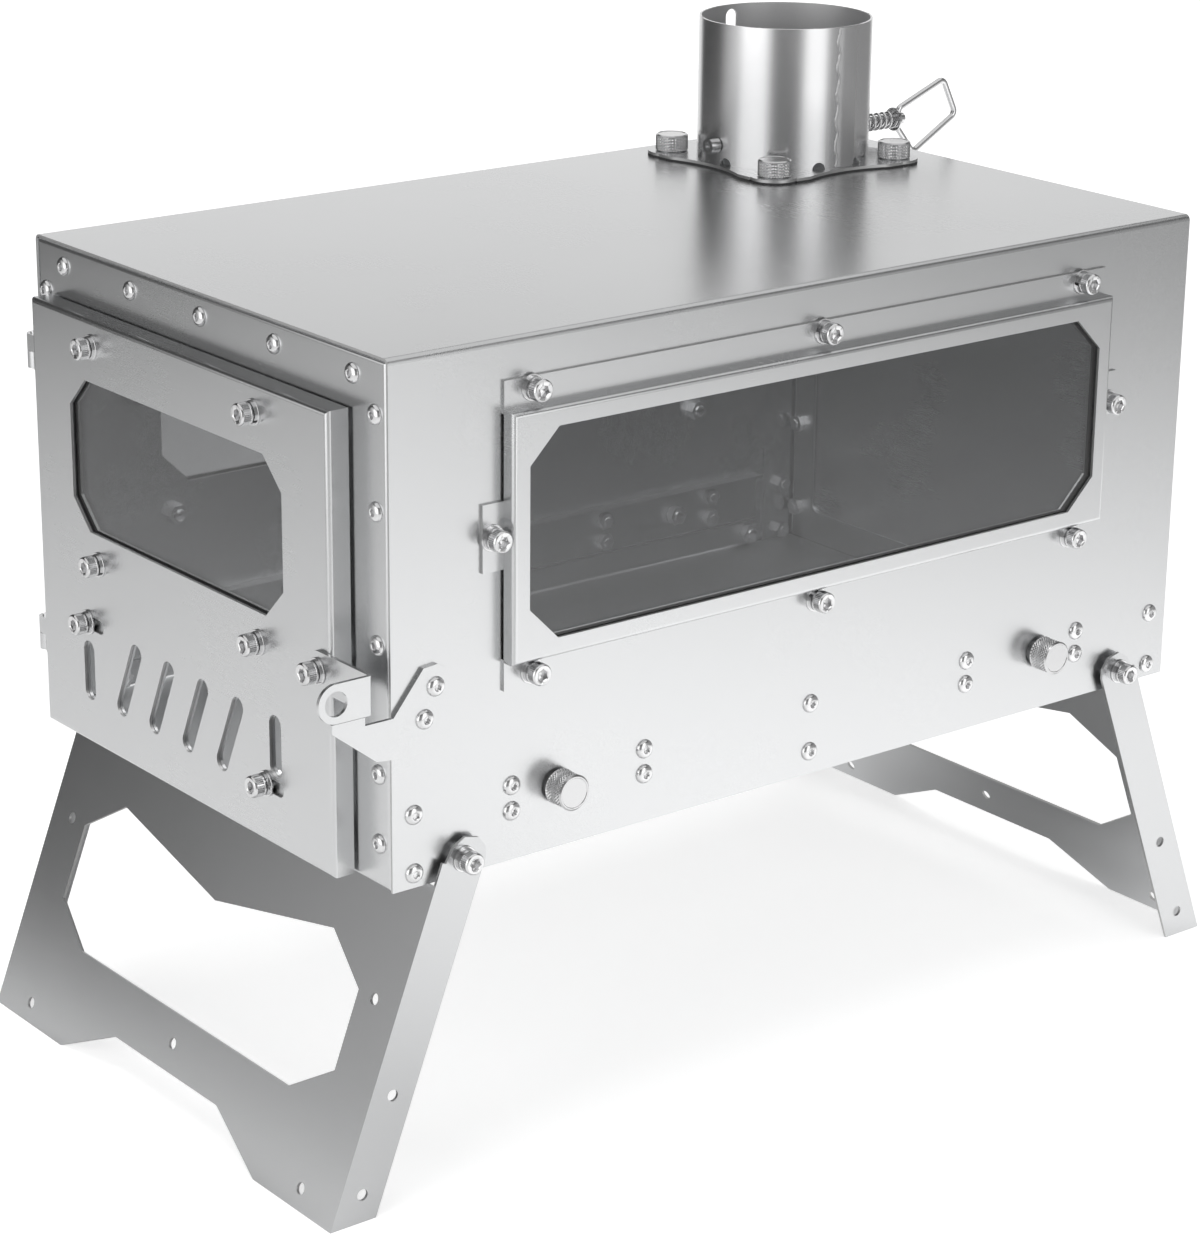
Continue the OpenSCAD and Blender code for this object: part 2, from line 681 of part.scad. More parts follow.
module damper_handle() color(bright) place() on_axle() translate([0, loop_y, 0])
  rotate([90, 0, 90]) bent_wire(loop_points, loop_bend, handle_wire / 2);

module hook_plate() color(satin) place() on_right() difference() {
  front_sheet(-hook_t, hook_t) polygon(hook_outline);
  front_sheet(-hook_t - eps, hook_t + 2 * eps) dots(hook_screws_at, m4_hole);
}

module hook_screws() color(bright) place() on_right() at(hook_screws_at)
  translate([0, -hook_t, 0]) button_screw(hook_t + 2 * sheet + nut4_h + 0.5);

module hook_nuts() color(bright) place() on_right() at(hook_screws_at)
  translate([0, 2 * sheet, 0]) nut4();

// Lower half of each hinge, fixed to the body
module hinge_leaves_body() color(satin) place() for (z = hinge_z) translate([0, 0, z]) difference() {
  union() {
    translate([hinge_x - hinge_r - 2, -plate, 0]) cube([hinge_r + 6.8, plate, hinge_h]);
    linear_extrude(hinge_h / 2 - 0.15) {
      translate([hinge_x, hinge_y]) circle(hinge_r);
      translate([hinge_x - hinge_r, hinge_y]) square([plate, -hinge_y - plate / 2]);
    }
  }
  translate([hinge_x, hinge_y, -eps]) cylinder(h = hinge_h, r = pin_r + 0.02);
}

module hinge_pins() color(bright) place() for (z = hinge_z) translate([hinge_x, hinge_y, z - 0.6])
  cylinder(h = hinge_h + 1.2, r = pin_r);

// Upper half of each hinge, fixed to the door's left edge
module hinge_leaves_door() color(satin) place() for (z = hinge_z) translate([0, 0, z]) difference() {
  union() {
    translate([door_x0 - plate, -9, 0]) cube([plate, 7.3, hinge_h]);
    translate([0, 0, hinge_h / 2 + 0.15]) linear_extrude(hinge_h / 2 - 0.15) {
      translate([hinge_x, hinge_y]) circle(hinge_r);
      translate([hinge_x, hinge_y - hinge_r]) square([door_x0 - hinge_x - plate / 2, plate]);
    }
  }
  translate([hinge_x, hinge_y, -eps]) cylinder(h = hinge_h + 1, r = pin_r + 0.06);
}

module door_window(grow = 0) cut_rectangle(door_cx - door_window_half - grow,
  door_window_z0 - grow, 2 * (door_window_half + grow), door_window_h + 2 * grow,
  door_window_chamfer);

door_screws_at = [for (x = [-door_screw_x, door_screw_x], z = door_screw_z) [door_cx + x, z]];

module door_panel() color(satin) place() difference() {
  translate([door_x0 + door_w / 2, -door_face, door_z0])
    pan(door_w, door_h, door_face - door_back, plate, 2);
  front_sheet(-door_face - eps, plate + 2 * eps) {
    door_window();
    for (v = vents) slot_outline(v[0], v[1], vent_w);
    for (p = shutter_pins) slot_outline(p, p + [shutter_travel, 0], 2 * m5_hole + 0.2);
    dots(concat(door_screws_at, [[latch_x, latch_z]]), m5_hole);
  }
}

module door_pane(grow) translate([door_cx - door_window_half - grow, door_window_z0 - grow])
  square([2 * (door_window_half + grow), door_window_h + 2 * grow]);

module door_gasket() color(fibre) place() front_sheet(-door_inner, door_gasket_t) difference() {
  door_pane(7.5);
  door_window();
}

module door_glass() color(smoky) place() front_sheet(door_gasket_t - door_inner, door_glass_t)
  door_pane(7.5);

// Frame behind the glass, pulled to the door by four screws
module door_glass_clamp() color(satin_dark) place() difference() {
  union() {
    front_sheet(clamp_y, plate) {
      door_pane(9.5);
      for (x = [-door_screw_x, door_screw_x]) translate([door_cx + x - 9, door_screw_z[0] - 6])
        square([18, door_screw_z[1] - door_screw_z[0] + 12]);
    }
    front_sheet(-door_inner, clamp_y + door_inner) dots(door_screws_at, 4);
  }
  front_sheet(clamp_y - eps, plate + 2 * eps) door_window();
  front_sheet(-door_inner - eps, clamp_y + door_inner + plate + 2 * eps)
    dots(door_screws_at, m5_hole);
}

module door_screws() color(bright) place() {
  at(door_screws_at) translate([0, -door_face - washer_stack, 0])
    cap_screw(door_face + washer_stack - door_back - 0.2);
  at([[latch_x, latch_z]]) translate([0, -door_face - latch_t - 0.2 - washer_stack, 0])
    cap_screw(washer_stack + latch_t + 0.2 + plate + 3);
}

module door_washers() color(bright) place() {
  at(door_screws_at) translate([0, -door_face, 0]) washer_pair();
  at([[latch_x, latch_z]]) translate([0, -door_face - latch_t - 0.2, 0]) washer_pair();
}

// Thin round nuts pressed into the sheet, so that the door can close flat
module door_nuts() color(bright) place() {
  at(door_screws_at) translate([0, clamp_y + plate, 0]) ring(4, m5 + 0.05, door_nut_h);
  at([[latch_x, latch_z]]) translate([0, -door_inner, 0]) ring(3.4, m5 + 0.05, 3);
}

// Flat arm bent forward into a lug with a finger hole
module latch_arm() color(satin) place() intersection() {
  difference() {
    translate([0, 0, latch_z - latch_half]) linear_extrude(2 * latch_half) latch_plan();
    translate([latch_x, 0, latch_z]) rotate([90, 0, 0]) cylinder(h = 30, r = m5 + 0.06);
    translate([latch_bend_x - 5, -latch_reach + latch_half, latch_z]) rotate([0, 90, 0])
      cylinder(h = 10, r = finger_r);
  }
  front_sheet(-latch_reach - 1, latch_reach) {
    translate([latch_x, latch_z]) circle(latch_half);
    translate([latch_x, latch_z - latch_half]) square([50, 2 * latch_half]);
  }
  translate([80, 0, 0]) rotate([90, 0, 90]) linear_extrude(60) {
    translate([latch_half - latch_reach, latch_z]) circle(latch_half);
    translate([latch_half - latch_reach, latch_z - latch_half]) square([40, 2 * latch_half]);
  }
}

// The arm seen from above
module latch_plan() {
  y1 = -door_face - 0.1;
  x0 = latch_x - latch_half;
  difference() {
    union() {
      translate([x0, y1 - latch_t]) square([latch_bend_x - 2 - x0, latch_t]);
      translate([latch_bend_x - latch_t, -latch_reach]) square([latch_t, latch_reach + y1 - 2]);
      translate([latch_bend_x - 2, y1 - 2]) circle(2);
    }
    translate([latch_bend_x - 2, y1 - 2]) circle(2 - latch_t);
    translate([latch_bend_x - 6, y1 - 6]) square([4.5, 4.5]);
  }
}

shutter_y = shutter_gap - door_inner;

// Slide behind the air slots, with the same slots cut through it
module air_shutter() color(satin_dark) place() front_sheet(shutter_y, plate) difference() {
  translate([shutter_x0, shutter_z0]) square([shutter_w, shutter_h]);
  for (v = vents) slot_outline(v[0], v[1], vent_w);
  dots(shutter_pins, m5_hole);
}

module shutter_screws() color(bright) place() at(shutter_pins)
  translate([0, -door_face - 0.1 - washer_stack, 0])
    cap_screw(washer_stack + 0.1 + door_face + shutter_y + plate + 3);

module shutter_washers() color(bright) place() at(shutter_pins)
  translate([0, -door_face - 0.1, 0]) washer_pair();

module shutter_nuts() color(bright) place() at(shutter_pins)
  translate([0, shutter_y + plate, 0]) ring(4.5, m5 + 0.05, 2.8);

// Leg drawn upright from its pivot: a cut-out plate with a flange down each side
module leg_upright() {
  front_sheet(-leg_front, plate) leg_face();
  both_sides() translate([leg_half - plate, 0, 0]) rotate([90, 0, 90]) linear_extrude(plate)
    difference() {
      union() {
        translate([-leg_front, -leg_len - 4]) square([leg_front + leg_back, leg_len + 1]);
        polygon([[-leg_front, -leg_top], [-6.4, 3.4], [-2.6, 8], [3.6, 8.8], [8, 6], [leg_back, 2],
          [leg_back, -20], [-leg_front, -20]]);
      }
      circle(m5 + 0.06);
      dots([[0.3, -92], [0.3, -131]], 2.3);
    }
}

module leg_face() difference() {
  translate([-leg_half, -leg_len - 4]) square([2 * leg_half, leg_len + 4 - leg_top]);
  polygon(concat([for (p = cut_out) [p[0], -p[1]]],
    [for (i = [len(cut_out) - 1:-1:1]) [-cut_out[i][0], -cut_out[i][1]]]));
  polygon([[-arch_half[1], -leg_len - 5], [-arch_half[1], -leg_len], [-arch_half[0], arch_rise - leg_len],
    [arch_half[0], arch_rise - leg_len], [arch_half[1], -leg_len], [arch_half[1], -leg_len - 5]]);
  dots([[-110, -60.6], [110, -60.6], [-101, 8 - leg_len], [101, 8 - leg_len], [0, -119]], 2.3);
}

// The leg leans forward and its feet are cut level with the floor
module leg() difference() {
  translate([0, pivot_y, pivot_z]) rotate([-leg_tilt, 0, 0]) leg_upright();
  translate([-leg_half - 1, -100, -leg_drop - 40]) cube([2 * leg_half + 2, 200, 40]);
}

module front_leg() color(satin_dark) place() leg();
module rear_leg() color(satin_dark) place() on_back() leg();

leg_outer = leg_half - wall + 0.1;

module leg_screws() color(bright) place() both_sides() on_right() at(leg_pivots())
  translate([0, -leg_outer - washer_stack, 0])
    cap_screw(leg_outer + washer_stack + 2 * sheet + nut5_h + 1);

module leg_washers() color(bright) place() both_sides() on_right() at(leg_pivots())
  translate([0, -leg_outer, 0]) washer_pair();

module leg_spacers() color(bright) place() both_sides() on_right() at(leg_pivots())
  translate([0, -spacer_t, 0]) ring(5, m5 + 0.05, spacer_t);

module leg_nuts() color(bright) place() both_sides() on_right() at(leg_pivots())
  translate([0, 2 * sheet, 0]) nut5();

body_wrap();
front_panel();
front_frame();
back_panel();
back_frame();
bottom_panel();
side_rails();
panel_screws();
panel_nuts();
rail_screws();
rail_nuts();
thumbscrews();
thumbscrew_nuts();
window_frame_right();
window_frame_left();
window_gasket_right();
window_gasket_left();
window_glass_right();
window_glass_left();
window_screws();
window_washers();
window_nuts();
flue_gasket();
flue_flange();
flue_collar();
flue_knobs();
flue_nuts();
damper_disc();
damper_axle();
damper_screws();
damper_spring();
damper_washer();
damper_handle();
hook_plate();
hook_screws();
hook_nuts();
hinge_leaves_body();
hinge_pins();
hinge_leaves_door();
door_panel();
door_gasket();
door_glass();
door_glass_clamp();
door_screws();
door_washers();
door_nuts();
latch_arm();
air_shutter();
shutter_screws();
shutter_washers();
shutter_nuts();
front_leg();
rear_leg();
leg_screws();
leg_washers();
leg_spacers();
leg_nuts();
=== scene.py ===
# Looks of a tent wood stove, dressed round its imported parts.
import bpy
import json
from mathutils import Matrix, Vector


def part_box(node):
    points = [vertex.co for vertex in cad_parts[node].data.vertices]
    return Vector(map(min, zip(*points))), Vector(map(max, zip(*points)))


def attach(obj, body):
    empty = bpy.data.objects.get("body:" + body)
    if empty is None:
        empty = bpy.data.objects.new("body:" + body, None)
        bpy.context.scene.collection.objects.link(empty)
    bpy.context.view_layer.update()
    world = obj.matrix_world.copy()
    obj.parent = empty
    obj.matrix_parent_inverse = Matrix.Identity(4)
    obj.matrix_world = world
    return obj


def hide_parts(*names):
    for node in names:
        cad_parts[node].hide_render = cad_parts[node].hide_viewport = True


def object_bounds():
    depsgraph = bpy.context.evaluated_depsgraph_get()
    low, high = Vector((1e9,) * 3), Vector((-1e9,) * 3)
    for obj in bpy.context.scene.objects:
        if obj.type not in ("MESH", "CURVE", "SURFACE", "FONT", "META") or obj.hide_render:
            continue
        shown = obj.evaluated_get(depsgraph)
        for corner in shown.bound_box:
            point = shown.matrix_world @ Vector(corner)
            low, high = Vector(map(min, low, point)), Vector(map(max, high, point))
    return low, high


bl_info = {
    "name": "Tent wood stove",
    "version": (1, 0, 0),
    "blender": (4, 5, 0),
    "location": "3D View > Sidebar > Stove",
    "description": "Dresses the packed parts of a folded steel tent stove",
    "category": "Object",
}

import json
import math
import random
from collections import namedtuple

import bmesh
import bpy
from bpy.props import FloatProperty, FloatVectorProperty, IntProperty, PointerProperty
from mathutils import Matrix, Vector

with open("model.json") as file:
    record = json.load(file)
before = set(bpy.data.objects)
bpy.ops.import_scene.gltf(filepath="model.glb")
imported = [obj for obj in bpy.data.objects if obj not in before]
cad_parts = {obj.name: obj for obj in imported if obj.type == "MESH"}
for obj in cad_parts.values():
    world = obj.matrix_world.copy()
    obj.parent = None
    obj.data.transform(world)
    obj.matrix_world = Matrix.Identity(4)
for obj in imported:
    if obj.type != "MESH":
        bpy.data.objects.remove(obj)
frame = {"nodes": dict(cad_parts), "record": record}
CAD_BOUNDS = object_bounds()
BODY_LOW, BODY_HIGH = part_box("body_wrap")
BODY_MIDDLE = (BODY_LOW + BODY_HIGH) / 2
NODE_BODY = {node: body for body, nodes in frame["record"]["behaviour"]["bodies"].items()
             for node in nodes}
X, Y, Z = range(3)

# Camera, fitted to the photograph: where its right side, its top and its back face, its place
# from the middle of the body's front lower edge, and its focal length in pixels of a picture
# of this height
CAMERA_AXES = (Vector((0.61672, 0.787118, 0.010069)), Vector((-0.26032, 0.19186, 0.946268)),
               Vector((0.742893, -0.586204, 0.323227)))
FRONT_EDGE = Vector((0, BODY_LOW.y, BODY_LOW.z))
CAMERA_FROM_EDGE = Vector((1.079714, -0.662088, 0.503261))
FOCAL_PIXELS, PICTURE_HEIGHT, SENSOR = 3495.088, 1236, 36

# Bearing of the camera from the flue in degrees, counted from +x. The screens round the stove
# are given by their bearing from the camera and their brightness, and make the light and dark
# bands on the flue collar
CAMERA_BEARING = -38.2
SCREEN_REACH = 1.5
SCREEN_HEIGHT = 1.7
SCREENS = ((-178, 0.62), (-152, 0.60), (-143, 0.05), (-104, 0.04), (-96, 0.07), (-86, 0.27),
           (-68, 0.50), (-58, 1.05), (-29, 1.10), (-17, 0.18), (-8, 0.15), (14, 0.16),
           (20, 0.38), (28, 0.90), (50, 0.90), (59, 0.25), (70, 0.20), (148, 0.18), (156, 0.56))

# Lamps: their places and sizes. The softboxes stand at bearings in degrees, counted from the
# front towards the right wall, and the fill hangs a little under the top of the firebox
SOFTBOXES = {"softbox_left": 9.7, "softbox_right": 93.7}
SOFTBOX_REACH = 1.5
SOFTBOX_HEIGHT = 0.75
SOFTBOX_SIZE = (0.9, 0.9)
OVERHEAD_PLACE = Vector((0, -0.15, 1.6))
OVERHEAD_SIZE = (1.2, 1.2)
FILL_DROP = 0.01
FILL_SIZE = (0.18, 0.3)

# Packed corners nearer than this are one point
MERGE = 2e-6
THIN_SHANK, THICK_SHANK = 0.002, 0.0025
THREAD_PITCH = 0.0008
THREAD_TURNS = 5
# The handle's near side lies this far behind the damper's washer. Its corners are counted
# from there and from the middle of the axle, backwards and upwards
HANDLE_GAP = 0.002
HANDLE_CORNERS = ((0.0097, -0.0163), (0.0354, -0.0014), (0.027, 0.0153), (0, 0.0045),
                  (0, -0.0045))
# Lap seam of the flue collar: its first and last bearing, and how far it stands proud
LAP_START, LAP_END, LAP_PROUD = math.radians(-3.5), math.radians(13), 0.00035

Seat = namedtuple("Seat", "end outward depth")


# -------- properties

def length(name, text, default, low=0.0, high=1.0):
    return FloatProperty(name=name, description=text, default=default, min=low, max=high,
                         precision=5, unit="LENGTH", subtype="DISTANCE")


def colour(name, text, default):
    return FloatVectorProperty(name=name, description=text, default=default, size=3,
                               min=0, max=1, subtype="COLOR")


def share(name, text, default, high=1.0):
    return FloatProperty(name=name, description=text, default=default, min=0, max=high,
                         subtype="FACTOR" if high == 1 else "NONE")


def count(name, text, default, low, high):
    return IntProperty(name=name, description=text, default=default, min=low, max=high)


def power(name, text, default):
    return FloatProperty(name=name, description=text, default=default, min=0, unit="POWER")


class StoveSteel(bpy.types.PropertyGroup):
    sheet: colour("Sheet", "Colour of the satin body sheets", (0.64, 0.645, 0.65))
    inner: colour("Inner sheet", "Colour of the sheets inside the firebox", (0.56, 0.565, 0.57))
    leg: colour("Legs", "Colour of the legs", (0.58, 0.585, 0.59))
    tube: colour("Flue tube", "Colour of the rolled flue tube", (0.66, 0.66, 0.665))
    cut: colour("Cut edge", "Colour of the laser-cut edges", (0.50, 0.50, 0.50))
    sheet_gloss: share("Sheet roughness", "Roughness of the satin body sheets", 0.27)
    tube_gloss: share("Tube roughness", "Roughness of the flue tube", 0.22)


class StoveFasteners(bpy.types.PropertyGroup):
    cap_radius: length("Cap head radius", "Outside radius of a socket cap head", 0.00425)
    cap_height: length("Cap head height", "Height of a socket cap head", 0.005)
    cap_socket: length("Cap socket", "Corner radius of the hexagon in a cap head", 0.00231)
    cap_teeth: count("Cap head teeth", "Ridges round a cap head", 36, 12, 60)
    button_radius: length("Button head radius", "Outside radius of a button head", 0.0038)
    button_height: length("Button head height", "Height of a button head", 0.0018)
    button_socket: length("Button socket", "Corner radius of the hexagon in a button head",
                          0.00145)
    bright: colour("Bright steel", "Colour of screws and nuts", (0.74, 0.74, 0.745))
    gloss: share("Fastener roughness", "Roughness of screws and nuts", 0.17)


class StoveKnobs(bpy.types.PropertyGroup):
    radius: length("Knob radius", "Outside radius of a knurled knob", 0.0072)
    height: length("Knob height", "Height of a knurled knob", 0.0073)
    thumb_radius: length("Thumbscrew radius", "Outside radius of a thumbscrew", 0.007)
    thumb_height: length("Thumbscrew height", "Height of a thumbscrew head", 0.0093)
    diamonds: count("Diamonds", "Diamonds round a knurled knob", 34, 12, 60)
    depth: length("Knurl depth", "Depth of the knurl's grooves", 0.0005)


class StoveDamper(bpy.types.PropertyGroup):
    curls: count("Curls", "Turns of the damper spring", 8, 2, 12)
    coil_radius: length("Coil radius", "Radius of the spring to the middle of its wire", 0.0034)
    wire: length("Spring wire", "Thickness of the spring wire", 0.0012)
    loop_wire: length("Loop wire", "Thickness of the handle wire", 0.0027)
    loop_bend: length("Loop bend", "Bend radius at the corners of the handle", 0.003)


class StoveGlass(bpy.types.PropertyGroup):
    smoke: colour("Smoke", "Light that passes through a pane", (0.47, 0.475, 0.48))
    fibre: colour("Fibre", "Colour of the heat-proof fibre strips", (0.035, 0.035, 0.036))


class StoveStage(bpy.types.PropertyGroup):
    floor: colour("Floor", "Colour of the floor", (0.80, 0.80, 0.80))
    floor_white: share("Floor white", "Extra brightness of the floor to the eye", 0.62, 2)
    floor_near: share("Floor glow", "Extra brightness of the near floor in the metal", 0.85, 2)
    room: share("Room", "Brightness of the room round the stove", 0.38, 2)
    ceiling: share("Ceiling", "Extra brightness of the ceiling in the metal", 0.45, 2)
    screens: share("Screens", "Brightness of the screens round the stove", 1.75, 4)
    fill: power("Firebox fill", "Power of the lamp inside the firebox", 0.3)
    softbox: power("Softboxes", "Power of each softbox beside the camera", 4.5)
    overhead: power("Overhead lamp", "Power of the lamp over the stove", 8.0)


GROUPS = {"stove_steel": StoveSteel, "stove_fasteners": StoveFasteners,
          "stove_knobs": StoveKnobs, "stove_damper": StoveDamper, "stove_glass": StoveGlass,
          "stove_stage": StoveStage}


# -------- nodes

def put(tree, node, **values):
    """Sets a node's options, or feeds its inputs where the name is an input's."""
    for key, value in values.items():
        label = key.replace("_", " ")
        if label not in node.inputs:
            setattr(node, key, value)
        elif isinstance(value, bpy.types.NodeSocket):
            tree.links.new(value, node.inputs[label])
        else:
            node.inputs[label].default_value = value
    return node


def add(tree, kind, **values):
    """Adds a node with its options and inputs."""
    return put(tree, tree.nodes.new(kind), **values)


def maths(tree, operation, a, b, clamp=False):
    """The result of a sum on two numbers or sockets."""
    node = add(tree, "ShaderNodeMath", operation=operation, use_clamp=clamp)
    for socket, value in zip(node.inputs, (a, b)):
        if isinstance(value, bpy.types.NodeSocket):
            tree.links.new(value, socket)
        else:
            socket.default_value = value
    return node.outputs[0]


def remap(tree, value, low, high, to_low=0.0, to_high=1.0):
    """A value stretched from one range to another, and held inside it."""
    node = add(tree, "ShaderNodeMapRange", clamp=True, Value=value, From_Min=low,
               From_Max=high, To_Min=to_low, To_Max=to_high)
    return node.outputs["Result"]


def noise(tree, vector, scale, detail, roughness):
    """Noise from 0 to 1."""
    node = add(tree, "ShaderNodeTexNoise", Vector=vector, Scale=scale, Detail=detail,
               Roughness=roughness)
    return node.outputs["Fac"]


def swing(tree, value, amount):
    """Noise about zero, times an amount."""
    return maths(tree, "MULTIPLY", maths(tree, "SUBTRACT", value, 0.5), amount)


# -------- materials

def node_group(name, inputs, outputs):
    """A shader group with a vector, float inputs (name, default) and float outputs."""
    group = bpy.data.node_groups.new(name, "ShaderNodeTree")
    group.interface.new_socket("Vector", in_out="INPUT", socket_type="NodeSocketVector")
    for label, default in inputs:
        socket = group.interface.new_socket(label, in_out="INPUT", socket_type="NodeSocketFloat")
        socket.default_value = default
    for label in outputs:
        group.interface.new_socket(label, in_out="OUTPUT", socket_type="NodeSocketFloat")
    return group, group.nodes.new("NodeGroupInput").outputs, group.nodes.new("NodeGroupOutput")


def rolled_sheet_group():
    """Rolled sheet: fine streaks along one way, soft clouds of handling, and a fine grain."""
    group, entry, out = node_group("Rolled sheet",
                                   [("Streaks", 0.3), ("Clouds", 0.5), ("Gloss", 0.27)],
                                   ["Tone", "Roughness", "Height"])
    speck_tone, cloud_rough, streak_rough = 0.35, 0.22, 0.12
    stretch = add(group, "ShaderNodeMapping", Vector=entry["Vector"], Scale=(90, 2600, 2600))
    streaks = noise(group, stretch.outputs["Vector"], scale=1.0, detail=3.0, roughness=0.6)
    streak = swing(group, streaks, entry["Streaks"])
    clouds = noise(group, entry["Vector"], scale=14.0, detail=4.0, roughness=0.55)
    cloud = swing(group, clouds, entry["Clouds"])
    grain = noise(group, entry["Vector"], scale=1500.0, detail=2.0, roughness=0.7)
    speck = maths(group, "SUBTRACT", grain, 0.5)
    tone = maths(group, "ADD", maths(group, "ADD", streak, cloud),
                 maths(group, "MULTIPLY", speck, speck_tone))
    rough = maths(group, "ADD", maths(group, "MULTIPLY", cloud, cloud_rough),
                  maths(group, "MULTIPLY", streak, streak_rough))
    put(group, out, Tone=maths(group, "ADD", tone, 0.5, clamp=True),
        Roughness=maths(group, "ADD", entry["Gloss"], rough),
        Height=maths(group, "ADD", speck, streak))
    return group


def speckle_group():
    """Fine uneven dots, for fibre, glass and bright machined metal."""
    group, entry, out = node_group("Fine speckle", [("Size", 0.001), ("Contrast", 1.0)],
                                   ["Mask", "Height"])
    scale = maths(group, "DIVIDE", 1.0, entry["Size"])
    dots = noise(group, entry["Vector"], scale, detail=3.0, roughness=0.65)
    mask = maths(group, "ADD", swing(group, dots, entry["Contrast"]), 0.5, clamp=True)
    put(group, out, Mask=mask, Height=dots)
    return group


SHADER_GROUPS = {"Rolled sheet": rolled_sheet_group, "Fine speckle": speckle_group}


def place_group(tree, name, **values):
    """Puts a shader group in a material's tree, on Object coordinates."""
    group = bpy.data.node_groups.get(name) or SHADER_GROUPS[name]()
    where = tree.nodes.new("ShaderNodeTexCoord")
    node = add(tree, "ShaderNodeGroup", node_tree=group)
    return put(tree, node, Vector=where.outputs["Object"], **values).outputs


def blank_material(name):
    """A new material with its tree and its Principled shader."""
    material = bpy.data.materials.new(name)
    material.use_nodes = True
    tree = material.node_tree
    return material, tree, tree.nodes["Principled BSDF"]


def tinted(tree, mask, rgb, spread):
    """Base colour between a darker and a lighter shade of one colour."""
    mix = add(tree, "ShaderNodeMix", data_type="RGBA")
    factor, dark, light = (mix.inputs[k] for k in (0, 6, 7))
    tree.links.new(mask, factor)
    dark.default_value = (*[c * (1 - spread) for c in rgb], 1)
    light.default_value = (*[min(1, c * (1 + spread)) for c in rgb], 1)
    return mix.outputs[2]


def bumped(tree, height, strength, distance):
    """Normal of a surface with a relief."""
    relief = add(tree, "ShaderNodeBump", Strength=strength, Distance=distance, Height=height)
    return relief.outputs["Normal"]


def sheet_steel(name, rgb, gloss, streaks=0.14, clouds=0.16, bump=0.05, spread=0.10):
    """Satin rolled steel with a fine grain."""
    found = bpy.data.materials.get(name)
    if found:
        return found
    material, tree, shader = blank_material(name)
    grain = place_group(tree, "Rolled sheet", Streaks=streaks, Clouds=clouds, Gloss=gloss)
    put(tree, shader, Metallic=1, Base_Color=tinted(tree, grain["Tone"], rgb, spread),
        Roughness=grain["Roughness"], Normal=bumped(tree, grain["Height"], bump, 0.0001))
    return material


def machined_steel(name, rgb, gloss, size=0.0004, spread=0.08):
    """Bright turned or cut metal with a faint speckle."""
    found = bpy.data.materials.get(name)
    if found:
        return found
    material, tree, shader = blank_material(name)
    mask = place_group(tree, "Fine speckle", Size=size, Contrast=1.6)["Mask"]
    put(tree, shader, Metallic=1, Base_Color=tinted(tree, mask, rgb, spread),
        Roughness=remap(tree, mask, 0.0, 1.0, gloss * 0.75, gloss * 1.35))
    return material


def smoked_glass():
    """Heat-proof glass that lets part of the light through, its shadow included."""
    smoke = bpy.context.scene.stove_glass.smoke
    material, tree, shader = blank_material("Smoked glass")
    smear = place_group(tree, "Fine speckle", Size=0.05, Contrast=2.0)
    put(tree, shader, Base_Color=(*smoke, 1), Transmission_Weight=1, IOR=1.5,
        Roughness=remap(tree, smear["Mask"], 0.35, 0.9, 0.0, 0.035))
    clear = add(tree, "ShaderNodeBsdfTransparent", Color=(*[c ** 0.5 for c in smoke], 1))
    path = tree.nodes.new("ShaderNodeLightPath")
    mix = tree.nodes.new("ShaderNodeMixShader")
    for source, socket in zip((path.outputs["Is Shadow Ray"], shader.outputs[0],
                               clear.outputs[0]), mix.inputs):
        tree.links.new(source, socket)
    tree.links.new(mix.outputs[0], tree.nodes["Material Output"].inputs["Surface"])
    return material


def fibre():
    """Dark heat-proof fibre, rough and a little uneven."""
    rgb = bpy.context.scene.stove_glass.fibre
    material, tree, shader = blank_material("Fibre strip")
    speck = place_group(tree, "Fine speckle", Size=0.0008, Contrast=2.0)
    put(tree, shader, Base_Color=tinted(tree, speck["Mask"], rgb, 0.5),
        Roughness=remap(tree, speck["Mask"], 0.0, 1.0, 0.75, 0.95),
        Normal=bumped(tree, speck["Height"], 0.5, 0.0003))
    return material


def satin():
    steel = bpy.context.scene.stove_steel
    return sheet_steel("Satin sheet", steel.sheet, steel.sheet_gloss)


def inner_sheet():
    return sheet_steel("Inner sheet", bpy.context.scene.stove_steel.inner, gloss=0.36)


def cut_edge():
    return machined_steel("Cut edge", bpy.context.scene.stove_steel.cut, gloss=0.42)


def bright():
    values = bpy.context.scene.stove_fasteners
    return machined_steel("Bright steel", values.bright, values.gloss)


# -------- meshes

def new_object(name, data):
    item = bpy.data.objects.new(name, data)
    bpy.context.scene.collection.objects.link(item)
    return item


def finish_piece(piece, body, slot, *nodes):
    """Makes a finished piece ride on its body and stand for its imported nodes."""
    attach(piece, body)
    if nodes:
        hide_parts(*nodes)
    return piece


def plain_mesh(piece):
    """Replaces an object's modifiers by the mesh that they give."""
    bpy.context.view_layer.update()
    done = piece.evaluated_get(bpy.context.evaluated_depsgraph_get())
    mesh = bpy.data.meshes.new_from_object(done)
    piece.modifiers.clear()
    piece.data = mesh
    mesh.name = piece.name
    return piece


def as_mesh(name, bm):
    """The mesh of a bmesh, which is freed."""
    mesh = bpy.data.meshes.new(name)
    bm.to_mesh(mesh)
    bm.free()
    return mesh


def packed_bmesh(node):
    """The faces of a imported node, with their corners merged."""
    bm = bmesh.new()
    bm.from_mesh(frame["nodes"][node].data)
    bmesh.ops.remove_doubles(bm, verts=bm.verts, dist=MERGE)
    return bm


def shade(bm, degrees):
    """Smooth faces with edges kept sharp where they turn more than the angle."""
    bm.normal_update()
    for face in bm.faces:
        face.smooth = True
    for edge in bm.edges:
        edge.smooth = (len(edge.link_faces) == 2
                       and edge.calc_face_angle(3) < math.radians(degrees))


